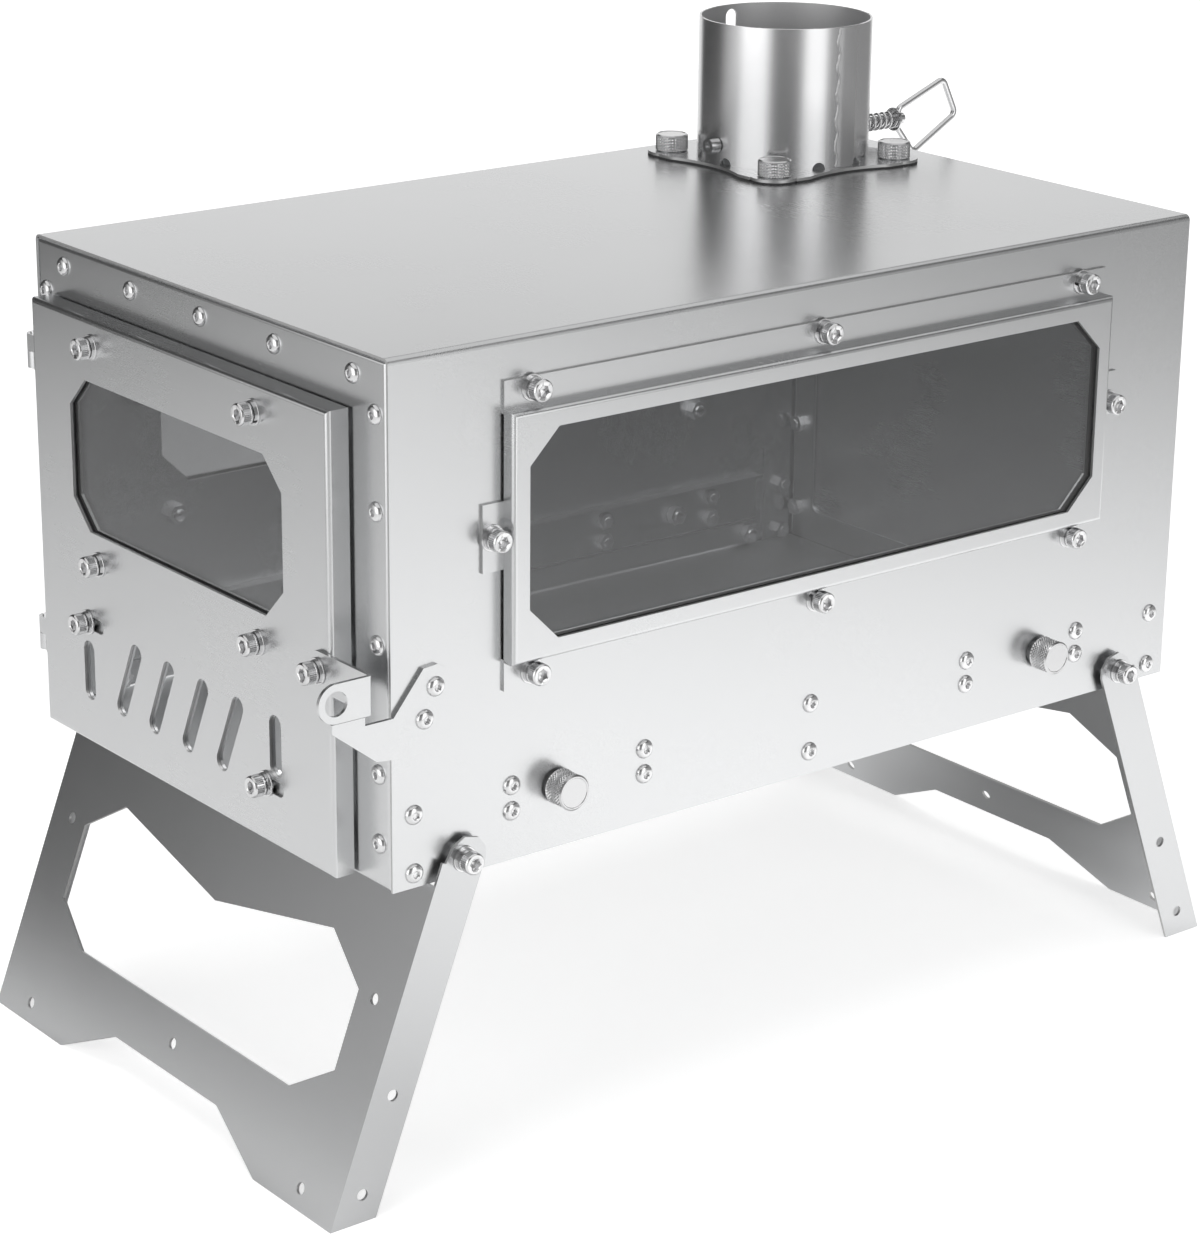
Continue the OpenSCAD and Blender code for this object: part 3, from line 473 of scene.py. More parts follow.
def skin(bm, rings, loop=False, ends=True):
    """Faces between rings of points, in a closed loop or with a face over each end."""
    following = rings[1:] + rings[:1] if loop else rings[1:]
    for low, high in zip(rings, following):
        for k in range(len(low)):
            n = (k + 1) % len(low)
            bm.faces.new((low[k], low[n], high[n], high[k]))
    if ends and not loop:
        bm.faces.new(list(reversed(rings[0])))
        bm.faces.new(rings[-1])


def turned(name, profile, segments=48, ends=True):
    """A piece turned round z from a profile of heights and radii. A radius may be a function
    of the angle and the height."""
    bm, rings = bmesh.new(), []
    for height, radius in profile:
        ring = []
        for k in range(segments):
            angle = 2 * math.pi * k / segments
            r = radius(angle, height) if callable(radius) else radius
            ring.append(bm.verts.new((r * math.cos(angle), r * math.sin(angle), height)))
        rings.append(ring)
    skin(bm, rings, ends=ends)
    shade(bm, 32)
    return as_mesh(name, bm)


def sweep(name, path, radius, sides, loop):
    """A round wire along a path of points."""
    bm, rings = bmesh.new(), []
    last = len(path) - 1
    side = None
    for i, point in enumerate(path):
        after = path[(i + 1) % len(path)] if loop or i < last else point
        before = path[i - 1] if loop or i > 0 else point
        way = (after - before).normalized()
        if side is None:
            side = way.orthogonal().normalized()
        side = (side - way * side.dot(way)).normalized()
        other = way.cross(side)
        rings.append([bm.verts.new(point + radius * (math.cos(a) * side + math.sin(a) * other))
                      for a in (2 * math.pi * k / sides for k in range(sides))])
    skin(bm, rings, loop)
    shade(bm, 50)
    return as_mesh(name, bm)


def bent_path(corners, bend, steps=8):
    """Points along a closed outline with rounded corners."""
    path = []
    for i, corner in enumerate(corners):
        before = (corner - corners[i - 1]).normalized()
        after = (corners[(i + 1) % len(corners)] - corner).normalized()
        turn = before.angle(after)
        reach = bend * math.tan(turn / 2)
        axis = before.cross(after).normalized()
        inward = axis.cross(before)
        centre = corner - before * reach + inward * bend
        for k in range(steps + 1):
            path.append(centre + Matrix.Rotation(turn * k / steps, 3, axis) @ (-inward * bend))
    return path


def joined(name, *meshes):
    """One mesh from several."""
    bm = bmesh.new()
    for mesh in meshes:
        bm.from_mesh(mesh)
        bpy.data.meshes.remove(mesh)
    return as_mesh(name, bm)


def merged_copy(node, name, finish, slot, sharp=28, sheets=(0.001, 0.0012)):
    """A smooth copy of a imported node. Faces as thick as a sheet get the cut edge's finish."""
    slack, longer_than_thick, short = 0.00002, 0.0013, 0.004
    bm = packed_bmesh(node)
    bmesh.ops.dissolve_degenerate(bm, edges=bm.edges, dist=1e-6)
    shade(bm, sharp)
    for face in bm.faces:
        lengths = [edge.calc_length() for edge in face.edges]
        thin = any(abs(size - sheet) < slack for size in lengths for sheet in sheets)
        rim = any(not edge.smooth and size > longer_than_thick
                  for edge, size in zip(face.edges, lengths))
        face.material_index = 1 if thin and (rim or max(lengths) < short) else 0
    mesh = as_mesh(name, bm)
    if "custom_normal" in mesh.attributes:
        mesh.attributes.remove(mesh.attributes["custom_normal"])
    mesh.materials.append(finish)
    mesh.materials.append(cut_edge())
    piece = new_object(name, mesh)
    even = piece.modifiers.new("Even bends", "WEIGHTED_NORMAL")
    even.keep_sharp, even.weight = True, 100
    return finish_piece(piece, NODE_BODY[node], slot, node)


def islands(node):
    """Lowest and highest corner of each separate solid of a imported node, in a fixed order."""
    bm = packed_bmesh(node)
    left, boxes = set(bm.verts), []
    while left:
        todo = [left.pop()]
        low, high = todo[0].co.copy(), todo[0].co.copy()
        while todo:
            vert = todo.pop()
            low = Vector(map(min, low, vert.co))
            high = Vector(map(max, high, vert.co))
            for edge in vert.link_edges:
                other = edge.other_vert(vert)
                if other in left:
                    left.discard(other)
                    todo.append(other)
        boxes.append((low, high))
    bm.free()
    return sorted(boxes, key=lambda b: [round(v, 5) for v in (*b[0], *b[1])])


def seats(node, axis):
    """Outer end, outward direction and depth of each fastener of a node along an axis."""
    found = []
    for low, high in islands(node):
        end = (low + high) / 2
        sign = 1 if end[axis] > BODY_MIDDLE[axis] else -1
        end[axis] = high[axis] if sign > 0 else low[axis]
        outward = Vector((0, 0, 0))
        outward[axis] = sign
        found.append(Seat(end, outward, high[axis] - low[axis]))
    return found


# -------- geometry nodes

def geometry_tree(name, inputs):
    """A geometry tree with named inputs: (name, socket type, default)."""
    tree = bpy.data.node_groups.new(name, "GeometryNodeTree")
    tree.interface.new_socket("Geometry", in_out="INPUT", socket_type="NodeSocketGeometry")
    for label, kind, default in inputs:
        socket = tree.interface.new_socket(label, in_out="INPUT", socket_type=kind)
        if default is not None:
            socket.default_value = default
    tree.interface.new_socket("Geometry", in_out="OUTPUT", socket_type="NodeSocketGeometry")
    return tree, tree.nodes.new("NodeGroupInput").outputs, tree.nodes.new("NodeGroupOutput")


def end_tree(tree, entry, out, geometry):
    """Ends a tree in Realize Instances and Set Material."""
    real = add(tree, "GeometryNodeRealizeInstances", Geometry=geometry)
    paint = add(tree, "GeometryNodeSetMaterial", Geometry=real.outputs[0],
                Material=entry["Finish"])
    tree.links.new(paint.outputs[0], out.inputs[0])
    return tree


def fastener_tree():
    """Stands a fastener on each point, turned by chance about the point's outward direction."""
    found = bpy.data.node_groups.get("Set of fasteners")
    if found:
        return found
    tree, entry, out = geometry_tree("Set of fasteners", [
        ("Fastener", "NodeSocketObject", None), ("Finish", "NodeSocketMaterial", None),
        ("Size", "NodeSocketFloat", 1.0), ("Turn", "NodeSocketFloat", 2 * math.pi),
        ("Seed", "NodeSocketInt", 7)])
    points = add(tree, "GeometryNodeMeshToPoints", Mesh=entry["Geometry"])
    outward = add(tree, "GeometryNodeInputNamedAttribute", data_type="FLOAT_VECTOR",
                  Name="outward")
    align = add(tree, "FunctionNodeAlignRotationToVector", axis="Z",
                Vector=outward.outputs["Attribute"])
    chance = add(tree, "FunctionNodeRandomValue", data_type="FLOAT", Seed=entry["Seed"])
    low, high = chance.inputs[2:4]
    low.default_value = 0
    tree.links.new(entry["Turn"], high)
    spin = add(tree, "FunctionNodeAxisAngleToRotation", Axis=(0, 0, 1),
               Angle=chance.outputs[1])
    both = add(tree, "FunctionNodeRotateRotation", rotation_space="LOCAL",
               Rotation=align.outputs[0], Rotate_By=spin.outputs[0])
    shape = add(tree, "GeometryNodeObjectInfo", Object=entry["Fastener"])
    stand = add(tree, "GeometryNodeInstanceOnPoints", Points=points.outputs[0],
                Instance=shape.outputs["Geometry"], Rotation=both.outputs[0],
                Scale=entry["Size"])
    return end_tree(tree, entry, out, stand.outputs[0])


def spring_tree():
    """Winds a coil spring upwards from the origin."""
    tree, entry, out = geometry_tree("Coil spring", [
        ("Finish", "NodeSocketMaterial", None), ("Curls", "NodeSocketFloat", 7.0),
        ("Coil radius", "NodeSocketFloat", 0.0034), ("Wire", "NodeSocketFloat", 0.0006),
        ("Length", "NodeSocketFloat", 0.026)])
    coil = add(tree, "GeometryNodeCurveSpiral", Resolution=20, Rotations=entry["Curls"],
               Start_Radius=entry["Coil radius"], End_Radius=entry["Coil radius"],
               Height=entry["Length"])
    wire = add(tree, "GeometryNodeCurvePrimitiveCircle", Resolution=10, Radius=entry["Wire"])
    tube = add(tree, "GeometryNodeCurveToMesh", Fill_Caps=True, Curve=coil.outputs[0],
               Profile_Curve=wire.outputs[0])
    return end_tree(tree, entry, out, tube.outputs[0])


def run_tree(piece, tree, **values):
    """Runs a geometry tree on a piece with its inputs set, and keeps the mesh that it gives."""
    modifier = piece.modifiers.new(tree.name, "NODES")
    modifier.node_group = tree
    for item in tree.interface.items_tree:
        if item.item_type == "SOCKET" and item.in_out == "INPUT" and item.name in values:
            modifier[item.identifier] = values[item.name]
    return plain_mesh(piece)


def fastener_set(name, node, axis, mesh, finish, slot, *also, seed=7):
    """All the fasteners of a node, from one mesh whose outer end is at z 0."""
    places = seats(node, axis)
    points = bpy.data.meshes.new(name)
    points.from_pydata([seat.end for seat in places], [], [])
    outward = points.attributes.new("outward", "FLOAT_VECTOR", "POINT")
    for item, seat in zip(outward.data, places):
        item.vector = seat.outward
    piece = new_object(name, points)
    shape = new_object(name + "_shape", mesh)
    run_tree(piece, fastener_tree(), Fastener=shape, Finish=finish, Seed=seed)
    bpy.data.objects.remove(shape)
    if "outward" in piece.data.attributes:
        piece.data.attributes.remove(piece.data.attributes["outward"])
    return finish_piece(piece, NODE_BODY[node], slot, node, *also)


# -------- fasteners

def knurl(radius, diamonds, depth, low, high):
    """Radius of a surface with crossing grooves between two heights."""
    pitch = 2 * math.pi * radius / diamonds

    def at(angle, height):
        if not low < height < high:
            return radius
        turn = angle * diamonds / (2 * math.pi)
        a = abs(((turn + height / pitch) % 1) - 0.5)
        b = abs(((turn - height / pitch) % 1) - 0.5)
        return radius - depth * 2 * (0.5 - min(a, b))
    return at


def ridges(radius, teeth, depth):
    """Radius of a surface with straight grooves."""
    return lambda angle, height: radius - depth * abs(math.sin(angle * teeth / 2))


def hexagon(corner):
    """Radius of a hexagon at an angle, from its corner radius."""
    return lambda angle, height: corner * math.cos(math.pi / 6) / math.cos(
        (angle % (math.pi / 3)) - math.pi / 6)


def shank(radius, top, bottom):
    """Profile of a threaded shank, from its end up to the head."""
    rings = [(bottom, radius * 0.8)]
    for k in range(THREAD_TURNS):
        rings += [(bottom + THREAD_PITCH * (k + 0.35), radius),
                  (bottom + THREAD_PITCH * (k + 0.85), radius * 0.88)]
    return rings + [(bottom + THREAD_PITCH * (THREAD_TURNS + 0.4), radius), (top, radius)]


def split_washer(top):
    """Spring washer: a flat band with a gap, one end a little lower than the other."""
    outer, inner, thick, drop = 0.00445, 0.0026, 0.0011, 0.00012
    steps, gap = 40, math.radians(9)
    bm, rings = bmesh.new(), []
    for k in range(steps + 1):
        angle = gap + (2 * math.pi - 2 * gap) * k / steps
        z = top - drop * (1 - k / steps)
        rings.append([bm.verts.new((radius * math.cos(angle), radius * math.sin(angle), height))
                      for radius, height in ((outer, z), (outer, z - thick),
                                             (inner, z - thick), (inner, z))])
    skin(bm, rings)
    bmesh.ops.recalc_face_normals(bm, faces=bm.faces)
    shade(bm, 40)
    return as_mesh("split_washer", bm)


def flat_washer(top):
    """Plain washer with chamfered rims."""
    rim, hole, chamfer, bottom = 0.005, 0.0028, 0.0001, top - 0.0008
    return turned("flat_washer", [
        (bottom, hole), (bottom, rim - chamfer), (bottom + chamfer, rim),
        (top - chamfer, rim), (top, rim - chamfer), (top, hole)])


def cap_screw(depth):
    """Socket cap screw with a ridged head, on a split washer and a flat washer."""
    size = bpy.context.scene.stove_fasteners
    r, h, socket = size.cap_radius, size.cap_height, size.cap_socket
    ridge = ridges(r, size.cap_teeth, depth=0.00022)
    split_top, flat_top = -h - 0.0001, -h - 0.0013
    # Shank, chamfer and plain band, ridges, rounded rim, then down into the socket
    head = turned("cap_head", shank(THICK_SHANK, -h, -depth) + [
        (-h, r - 0.0003), (-h + 0.0003, r), (-h + 0.0009, r), (-h + 0.0010, ridge),
        (-0.0009, ridge), (-0.0008, r - 0.00005), (-0.00035, r - 0.0002), (0, r - 0.0006),
        (0, socket + 0.0003), (-0.0003, hexagon(socket)), (-0.0024, hexagon(socket)),
        (-0.0028, 0.0004)], segments=72)
    return joined("cap_screw", head, split_washer(split_top), flat_washer(flat_top))


def button_screw(depth):
    """Button head screw with a domed head and a hexagon socket."""
    size = bpy.context.scene.stove_fasteners
    r, h, socket = size.button_radius, size.button_height, size.button_socket
    dome = [(-h + h * math.sin(a), r * (0.42 + 0.58 * math.cos(a)))
            for a in (math.radians(d) for d in (12, 28, 44, 60, 76, 90))]
    return turned("button_screw", shank(THIN_SHANK, -h, -depth) + [
        (-h, r - 0.0001), (-h + 0.0002, r)] + dome + [
        (-0.00008, socket + 0.0001), (-0.0002, hexagon(socket)), (-0.0012, hexagon(socket)),
        (-0.0014, 0.0003)], segments=36)


def knob(radius, height, depth, skirt):
    """Knurled knob with chamfered rims and a shallow turned face, on its threaded shank."""
    size = bpy.context.scene.stove_knobs
    chamfer, neck, rows, plain_foot, plain_rim = 0.0005, 0.0048, 24, 0.0007, 0.0006
    grooves = knurl(radius, size.diamonds, size.depth, -height + plain_foot, -plain_rim)
    side = [(-height + chamfer + (height - 2 * chamfer) * k / rows, grooves)
            for k in range(rows + 1)]
    return turned("knob", shank(THICK_SHANK, -height - skirt, -depth) + [
        (-height - skirt, neck), (-height - 0.00002, neck), (-height, radius - chamfer)]
        + side + [(0, radius - 0.0006), (0, radius - 0.0011), (-0.0002, radius - 0.0013),
                  (-0.0002, 0.0002)], segments=4 * size.diamonds)


# -------- flue collar

def lap(axis, radius, low, high):
    """The outer edge of the rolled sheet, which lies on the tube."""
    columns, rise, sunk = 12, 3, -0.0003
    bottom, top = low.z + 0.0004, high.z - 0.0002
    bm, rings = bmesh.new(), []
    for k in range(columns + 1):
        angle = LAP_START + (LAP_END - LAP_START) * k / columns
        away = Vector((math.cos(angle), math.sin(angle), 0))
        lift = LAP_PROUD * min(1, k / rise)
        rings.append([bm.verts.new(axis + away * (radius + d) + Vector((0, 0, z - axis.z)))
                      for d, z in ((sunk, bottom), (lift, bottom), (lift, top), (sunk, top))])
    skin(bm, rings)
    bmesh.ops.recalc_face_normals(bm, faces=bm.faces)
    shade(bm, 30)
    return as_mesh("lap_seam", bm)


def weld(axis, radius, low, high):
    """The wavy bead of weld along the lap."""
    points, margin, reach = 60, 0.0007, radius - 0.00012
    wave, ripple, shiver = 0.9, 0.55, 0.35
    chance = random.Random(5)
    path = []
    for k in range(points + 1):
        z = low.z + margin + (high.z - low.z - 2 * margin) * k / points
        angle = LAP_START + math.radians(wave * math.sin(k * ripple)
                                         + chance.uniform(-shiver, shiver))
        path.append(Vector((axis.x + reach * math.cos(angle),
                            axis.y + reach * math.sin(angle), z)))
    return sweep("weld", path, radius=0.0006, sides=10, loop=False)


# -------- stage

def set_camera(scene):
    """Camera, fitted to the photograph."""
    data = bpy.data.cameras.new("camera")
    camera = new_object("camera", data)
    camera.matrix_world = (Matrix.Translation(FRONT_EDGE + CAMERA_FROM_EDGE)
                           @ Matrix(CAMERA_AXES).transposed().to_4x4())
    data.sensor_width = SENSOR
    data.lens = FOCAL_PIXELS * SENSOR / PICTURE_HEIGHT
    data.clip_start, data.clip_end = 0.01, 50
    scene.camera = camera


def pale_floor(values):
    """Floor that is white to the eye, dim through glass, and glows in the metal."""
    through_glass, glow_far_off, white_far_off = 0.05, 0.06, 0.95
    glow_fades, white_grows = (0.5, 1.45), (0.5, 2.5)
    outline, shade_fades = (8.0, 4.2, 0), (0.85, 1.45)
    behind, turns, before_level, behind_level = (0.35, 0.937, 0), (-0.3, 0.6), 0.42, 0.93
    material, tree, shader = blank_material("Pale floor")
    path = tree.nodes.new("ShaderNodeLightPath").outputs
    seen = maths(tree, "MAXIMUM", path["Is Camera Ray"],
                 maths(tree, "MULTIPLY", path["Is Transmission Ray"], through_glass))
    place = tree.nodes.new("ShaderNodeTexCoord").outputs["Object"]
    reach = add(tree, "ShaderNodeVectorMath", operation="LENGTH", Vector=place)
    # The glow fades far off, and there is none under the stove, whose outline is about one
    # unit from the middle in this plan
    plan = add(tree, "ShaderNodeMapping", Vector=place, Scale=outline)
    under = add(tree, "ShaderNodeVectorMath", operation="LENGTH", Vector=plan.outputs[0])
    near = maths(tree, "MULTIPLY", remap(tree, under.outputs["Value"], *shade_fades),
                 remap(tree, reach.outputs["Value"], *glow_fades, values.floor_near,
                       glow_far_off))
    # It is also less before the stove than behind it
    away = add(tree, "ShaderNodeVectorMath", operation="NORMALIZE", Vector=place)
    side = add(tree, "ShaderNodeVectorMath", operation="DOT_PRODUCT", Vector=away.outputs[0])
    side.inputs[1].default_value = behind
    near = maths(tree, "MULTIPLY", near,
                 remap(tree, side.outputs["Value"], *turns, before_level, behind_level))
    plain = remap(tree, reach.outputs["Value"], *white_grows, values.floor_white,
                  white_far_off)
    level = maths(tree, "ADD", maths(tree, "MULTIPLY", seen, plain),
                  maths(tree, "MULTIPLY", near, path["Is Glossy Ray"]))
    put(tree, shader, Base_Color=(*values.floor, 1), Roughness=0.9, Specular_IOR_Level=0.1,
        Emission_Color=(1, 1, 1, 1), Emission_Strength=level)
    return material


def studio_screens(values):
    """Pale and dark bands round the stove, dimmer towards the top."""
    fade_from, fade_to, top_level = 0.68, 1.2, 0.35
    material, tree = blank_material("Studio screens")[:2]
    place = tree.nodes.new("ShaderNodeTexCoord").outputs["Object"]
    around = add(tree, "ShaderNodeTexGradient", gradient_type="RADIAL", Vector=place)
    bands = add(tree, "ShaderNodeValToRGB", Fac=around.outputs["Fac"])
    stops = sorted((((bearing + CAMERA_BEARING + 180) % 360) / 360, level)
                   for bearing, level in SCREENS)
    ends = stops[0][1] * 0.5 + stops[-1][1] * 0.5
    ramp = bands.color_ramp
    ramp.elements[0].position, ramp.elements[1].position = 0, 1
    for element in ramp.elements:
        element.color = (ends, ends, ends, 1)
    for position, level in stops:
        ramp.elements.new(position).color = (level, level, level, 1)
    apart = add(tree, "ShaderNodeSeparateXYZ", Vector=place)
    fade = remap(tree, apart.outputs["Z"], fade_from, fade_to, 1.0, top_level)
    glow = add(tree, "ShaderNodeEmission", Color=bands.outputs["Color"],
               Strength=maths(tree, "MULTIPLY", fade, values.screens))
    tree.links.new(glow.outputs[0], tree.nodes["Material Output"].inputs["Surface"])
    return material


def set_world(scene, values):
    """World: white to the eye and through glass, but a dim room for the light on the stove."""
    # Upward part of a view direction at which the ceiling begins and is full
    ceiling_begins, ceiling_full = 0.45, 0.68
    world = bpy.data.worlds.new("studio")
    scene.world = world
    world.use_nodes = True
    tree = world.node_tree
    path = tree.nodes.new("ShaderNodeLightPath").outputs
    seen = maths(tree, "MAXIMUM", path["Is Camera Ray"], path["Is Transmission Ray"])
    where = tree.nodes.new("ShaderNodeTexCoord")
    apart = add(tree, "ShaderNodeSeparateXYZ", Vector=where.outputs["Generated"])
    ceiling = maths(tree, "MULTIPLY", path["Is Glossy Ray"],
                    remap(tree, apart.outputs["Z"], ceiling_begins, ceiling_full, 0.0,
                          values.ceiling))
    level = maths(tree, "MAXIMUM", seen, maths(tree, "ADD", ceiling, values.room))
    put(tree, tree.nodes["Background"], Color=(1, 1, 1, 1), Strength=level)


def set_lamp(name, place, target, size, watts, glossy=True, transmission=True):
    """A rectangular lamp that faces its target."""
    data = bpy.data.lights.new(name, "AREA")
    data.shape, data.energy = "RECTANGLE", watts
    data.size, data.size_y = size
    lamp = new_object(name, data)
    aim = (target - place).to_track_quat("-Z", "Y").to_matrix().to_4x4()
    lamp.matrix_world = Matrix.Translation(place) @ aim
    lamp.visible_glossy, lamp.visible_transmission = glossy, transmission


def set_lamps(values):
    """A softbox on each side of the camera, one overhead, and a fill inside the firebox."""
    middle = (CAD_BOUNDS[0] + CAD_BOUNDS[1]) / 2
    for name, bearing in SOFTBOXES.items():
        angle = math.radians(bearing)
        place = Vector((math.sin(angle) * SOFTBOX_REACH, -math.cos(angle) * SOFTBOX_REACH,
                        SOFTBOX_HEIGHT))
        set_lamp(name, place, middle, SOFTBOX_SIZE, values.softbox)
    set_lamp("overhead", OVERHEAD_PLACE, middle, OVERHEAD_SIZE, values.overhead,
             glossy=False)
    under_top = Vector((BODY_MIDDLE.x, BODY_MIDDLE.y, BODY_HIGH.z - FILL_DROP))
    set_lamp("firebox_fill", under_top, BODY_MIDDLE, FILL_SIZE, values.fill,
             transmission=False)


# -------- operators

class StoveOperator:
    bl_options = {"REGISTER", "UNDO"}


class STOVE_OT_plain_parts(StoveOperator, bpy.types.Operator):
    """Give the flat inner parts, pins, nuts and panes their finishes"""
    bl_idname = "stove.plain_parts"
    bl_label = "Inner parts and panes"

    def execute(self, context):
        finishes = {"inner_steel": inner_sheet(), "fastener_steel": bright(),
                    "fibre_gasket": fibre(), "smoked_glass": smoked_glass(),
                    "bright_wire": bright()}
        slots = {row["node"]: row["material_slot"] for row in frame["record"]["subparts"]}
        for node, piece in frame["nodes"].items():
            finish = finishes.get(slots[node])
            if finish:
                piece.data.materials.clear()
                piece.data.materials.append(finish)
        return {"FINISHED"}


class STOVE_OT_sheets(StoveOperator, bpy.types.Operator):
    """Dress the folded steel sheets of the body, the door, the frames and the legs"""
    bl_idname = "stove.sheets"
    bl_label = "Folded sheets"

    def execute(self, context):
        steel = context.scene.stove_steel
        # The legs shine a little more than the body
        legs = sheet_steel("Leg sheet", steel.leg, gloss=steel.sheet_gloss - 0.06)
        for node in ("body_wrap", "front_panel", "back_panel", "window_frame_right",
                     "window_frame_left", "door_panel", "latch_arm", "hook_plate",
                     "flue_flange", "hinge_leaves_body", "hinge_leaves_door"):
            merged_copy(node, "folded_" + node, satin(), "satin_steel")
        for node in ("bottom_panel", "door_glass_clamp"):
            merged_copy(node, "folded_" + node, inner_sheet(), "inner_steel")
        for node in ("front_leg", "rear_leg"):
            merged_copy(node, "folded_" + node, legs, "leg_steel")
        return {"FINISHED"}


class STOVE_OT_collar(StoveOperator, bpy.types.Operator):
    """Dress the rolled flue collar"""
    bl_idname = "stove.collar"
    bl_label = "Flue collar"

    def execute(self, context):
        steel = context.scene.stove_steel
        tube = sheet_steel("Flue tube", steel.tube, steel.tube_gloss, streaks=0.3, clouds=0.4)
        collar = merged_copy("flue_collar", "rolled_flue_collar", tube, "flue_steel")
        low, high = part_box("flue_collar")
        axis = (low + high) / 2
        radius = (high.x - low.x) / 2
        # The inside of the tube is duller, as far out as the middle of its wall
        wall_middle = radius - 0.0005
        collar.data.materials.append(sheet_steel("Flue tube inside", steel.tube, gloss=0.5))
        for face in collar.data.polygons:
            outward = (face.center - axis) * Vector((1, 1, 0))
            if face.normal.dot(outward) < 0 and outward.length < wall_middle:
                face.material_index = 2
        seam = new_object("lap_seam", joined("lap_seam", lap(axis, radius, low, high),
                                             weld(axis, radius, low, high)))
        dark = [c * 0.8 for c in steel.tube]
        seam.data.materials.append(sheet_steel("Lap seam", dark, gloss=0.36, streaks=0.6,
                                               clouds=1.0, bump=0.3))
        finish_piece(seam, NODE_BODY["flue_collar"], "flue_steel")
        return {"FINISHED"}


class STOVE_OT_cap_screws(StoveOperator, bpy.types.Operator):
    """Make the socket cap screws with their washers"""
    bl_idname = "stove.cap_screws"
    bl_label = "Cap screws"

    def execute(self, context):
        for node, washers, axis, seed in (("window_screws", "window_washers", X, 7),
                                          ("leg_screws", "leg_washers", X, 7),
                                          ("shutter_screws", "shutter_washers", Y, 7),
                                          ("door_screws", "door_washers", Y, 3)):
            depth = max(seat.depth for seat in seats(node, axis))
            fastener_set("ridged_" + node, node, axis, cap_screw(depth), bright(),
                         "fastener_steel", washers, seed=seed)
        return {"FINISHED"}


class STOVE_OT_button_screws(StoveOperator, bpy.types.Operator):
    """Make the domed button screws of the panels, the rails and the hook"""
    bl_idname = "stove.button_screws"
    bl_label = "Button screws"

    def execute(self, context):
        for node, axis in (("panel_screws", Y), ("rail_screws", X), ("hook_screws", X)):
            depth = min(seat.depth for seat in seats(node, axis))
            fastener_set("domed_" + node, node, axis, button_screw(depth), bright(),
                         "fastener_steel")
        return {"FINISHED"}


class STOVE_OT_knobs(StoveOperator, bpy.types.Operator):
    """Make the knurled knobs of the flue and the thumbscrews of the walls"""
    bl_idname = "stove.knobs"
    bl_label = "Knurled knobs"

    def execute(self, context):
        size = context.scene.stove_knobs
        dark = [0.82 * c for c in context.scene.stove_fasteners.bright]
        metal = machined_steel("Knurled steel", dark, gloss=0.2)
        for node, axis, radius, height, skirt in (
                ("flue_knobs", Z, size.radius, size.height, 0.0003),
                ("thumbscrews", X, size.thumb_radius, size.thumb_height, 0.0013)):
            shape = knob(radius, height, seats(node, axis)[0].depth, skirt)
            fastener_set("knurled_" + node, node, axis, shape, metal, "knurled_steel")
        return {"FINISHED"}


class STOVE_OT_damper(StoveOperator, bpy.types.Operator):
    """Make the damper's axle, coil spring and wire handle"""
    bl_idname = "stove.damper"
    bl_label = "Damper"

    def execute(self, context):
        size = context.scene.stove_damper
        wire = machined_steel("Bright wire", context.scene.stove_fasteners.bright, gloss=0.14)
        low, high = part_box("damper_spring")
        middle = (low + high) / 2
        spring = new_object("coiled_damper_spring",
                            bpy.data.meshes.new("coiled_damper_spring"))
        sizes = {"Finish": wire, "Curls": float(size.curls), "Coil radius": size.coil_radius,
                 "Wire": size.wire / 2, "Length": high.y - low.y - size.wire}
        run_tree(spring, spring_tree(), **sizes)
        spring.data.transform(
            Matrix.Translation((middle.x, high.y - size.wire / 2, middle.z))
            @ Matrix.Rotation(math.pi / 2, 4, "X"))
        for polygon in spring.data.polygons:
            polygon.use_smooth = True
        finish_piece(spring, "damper", "bright_wire", "damper_spring")
        axle_low, axle_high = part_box("damper_axle")
        behind_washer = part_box("damper_washer")[1].y + HANDLE_GAP
        centre = Vector((middle.x, behind_washer, (axle_low.z + axle_high.z) / 2))
        corners = [centre + Vector((0, y, z)) for y, z in HANDLE_CORNERS]
        handle = sweep("bent_damper_handle", bent_path(corners, size.loop_bend),
                       size.loop_wire / 2, sides=16, loop=True)
        handle.materials.append(wire)
        finish_piece(new_object("bent_damper_handle", handle), "damper", "bright_wire",
                     "damper_handle")
        for node in ("damper_axle", "damper_washer", "damper_screws"):
            merged_copy(node, "turned_" + node, wire, "bright_wire", sheets=())
        merged_copy("damper_disc", "cut_damper_disc", inner_sheet(), "inner_steel")
        return {"FINISHED"}


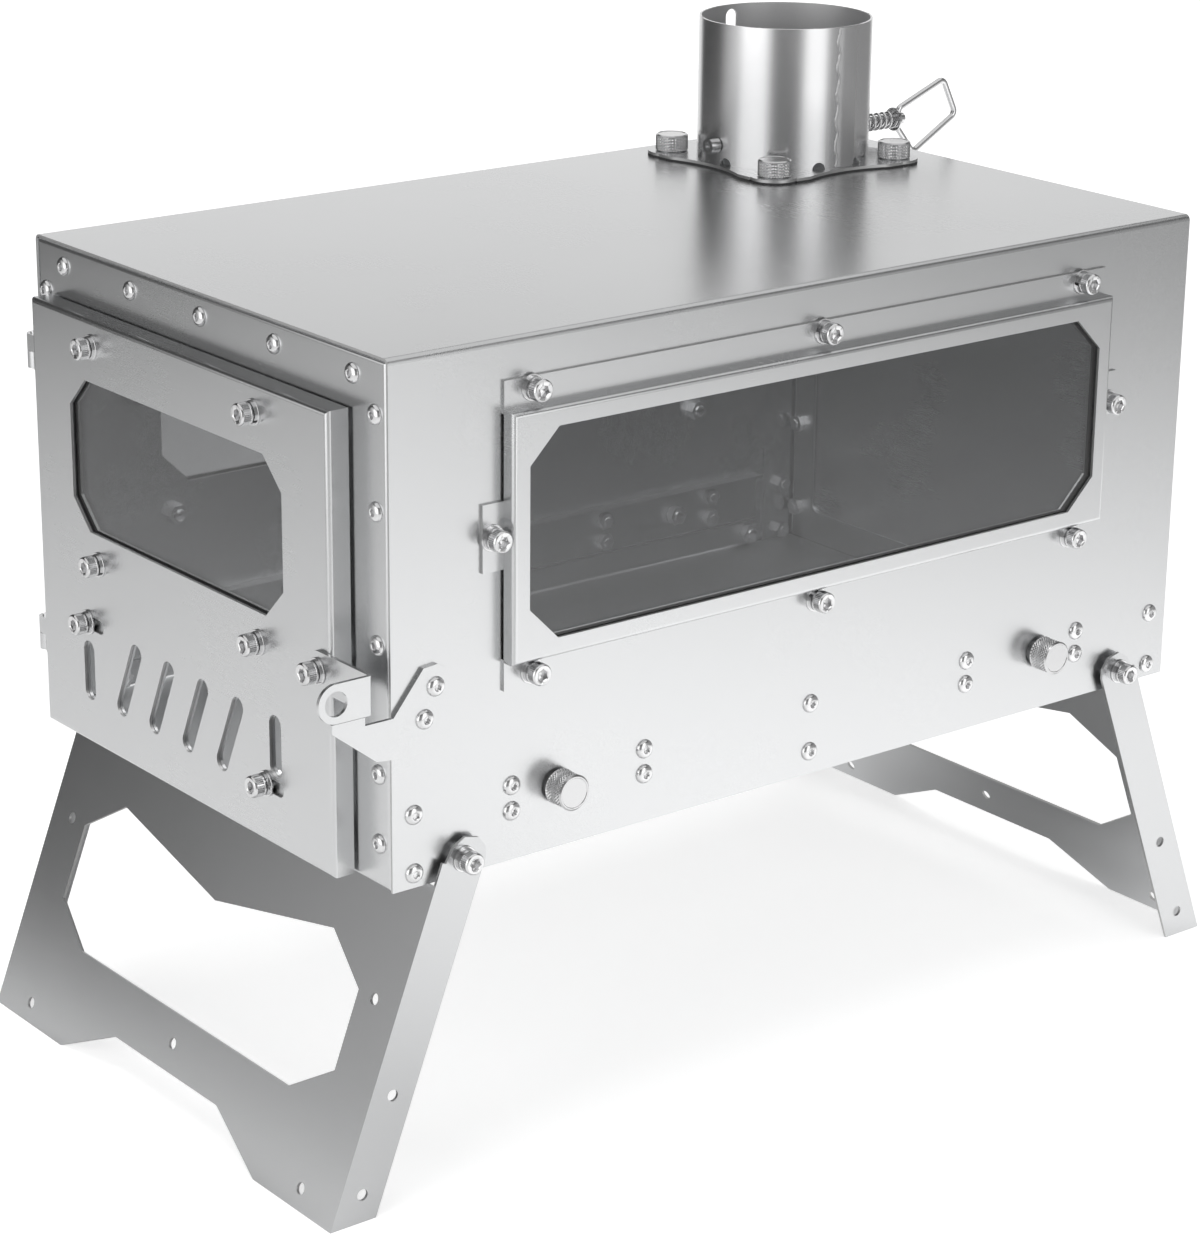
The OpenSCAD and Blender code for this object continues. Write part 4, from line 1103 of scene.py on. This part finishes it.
class STOVE_OT_stage(StoveOperator, bpy.types.Operator):
    """Set the floor, the screens, the lamps, the world and the camera"""
    bl_idname = "stove.stage"
    bl_label = "Stage"

    def execute(self, context):
        scene, values = context.scene, context.scene.stove_stage
        scene.view_settings.view_transform = "Standard"
        set_camera(scene)
        floor_radius, floor_thick = 6.0, 0.002
        floor = new_object("floor", turned("floor", [(-floor_thick, floor_radius),
                                                     (0, floor_radius)], segments=96))
        floor.data.materials.append(pale_floor(values))
        # The screens are seen only in the metal
        collar_low, collar_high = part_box("flue_collar")
        ring = new_object("screens", turned("screens", [(0, SCREEN_REACH),
                                                        (SCREEN_HEIGHT, SCREEN_REACH)],
                                            segments=96, ends=False))
        ring.location = ((collar_low.x + collar_high.x) / 2,
                         (collar_low.y + collar_high.y) / 2, 0)
        for kind in ("camera", "diffuse", "shadow", "transmission", "volume_scatter"):
            setattr(ring, "visible_" + kind, False)
        ring.data.materials.append(studio_screens(values))
        set_world(scene, values)
        set_lamps(values)
        return {"FINISHED"}


STEPS = (STOVE_OT_plain_parts, STOVE_OT_sheets, STOVE_OT_collar, STOVE_OT_cap_screws,
         STOVE_OT_button_screws, STOVE_OT_knobs, STOVE_OT_damper, STOVE_OT_stage)


class STOVE_PT_panel(bpy.types.Panel):
    """Lists the stove's pieces and their sizes"""
    bl_label = "Tent wood stove"
    bl_idname = "STOVE_PT_panel"
    bl_space_type = "VIEW_3D"
    bl_region_type = "UI"
    bl_category = "Stove"

    def draw(self, context):
        for step in STEPS:
            self.layout.operator(step.bl_idname)
        for name, group in GROUPS.items():
            box = self.layout.box()
            for key in group.__annotations__:
                box.prop(getattr(context.scene, name), key)


def register():
    for group in GROUPS.values():
        bpy.utils.register_class(group)
    for name, group in GROUPS.items():
        setattr(bpy.types.Scene, name, PointerProperty(type=group))
    for item in (*STEPS, STOVE_PT_panel):
        bpy.utils.register_class(item)


def unregister():
    for item in (STOVE_PT_panel, *reversed(STEPS)):
        bpy.utils.unregister_class(item)
    for name in GROUPS:
        delattr(bpy.types.Scene, name)
    for group in GROUPS.values():
        bpy.utils.unregister_class(group)


def main():
    register()
    for step in STEPS:
        area, name = step.bl_idname.split(".")
        getattr(getattr(bpy.ops, area), name)()


if __name__ == "__main__":
    main()
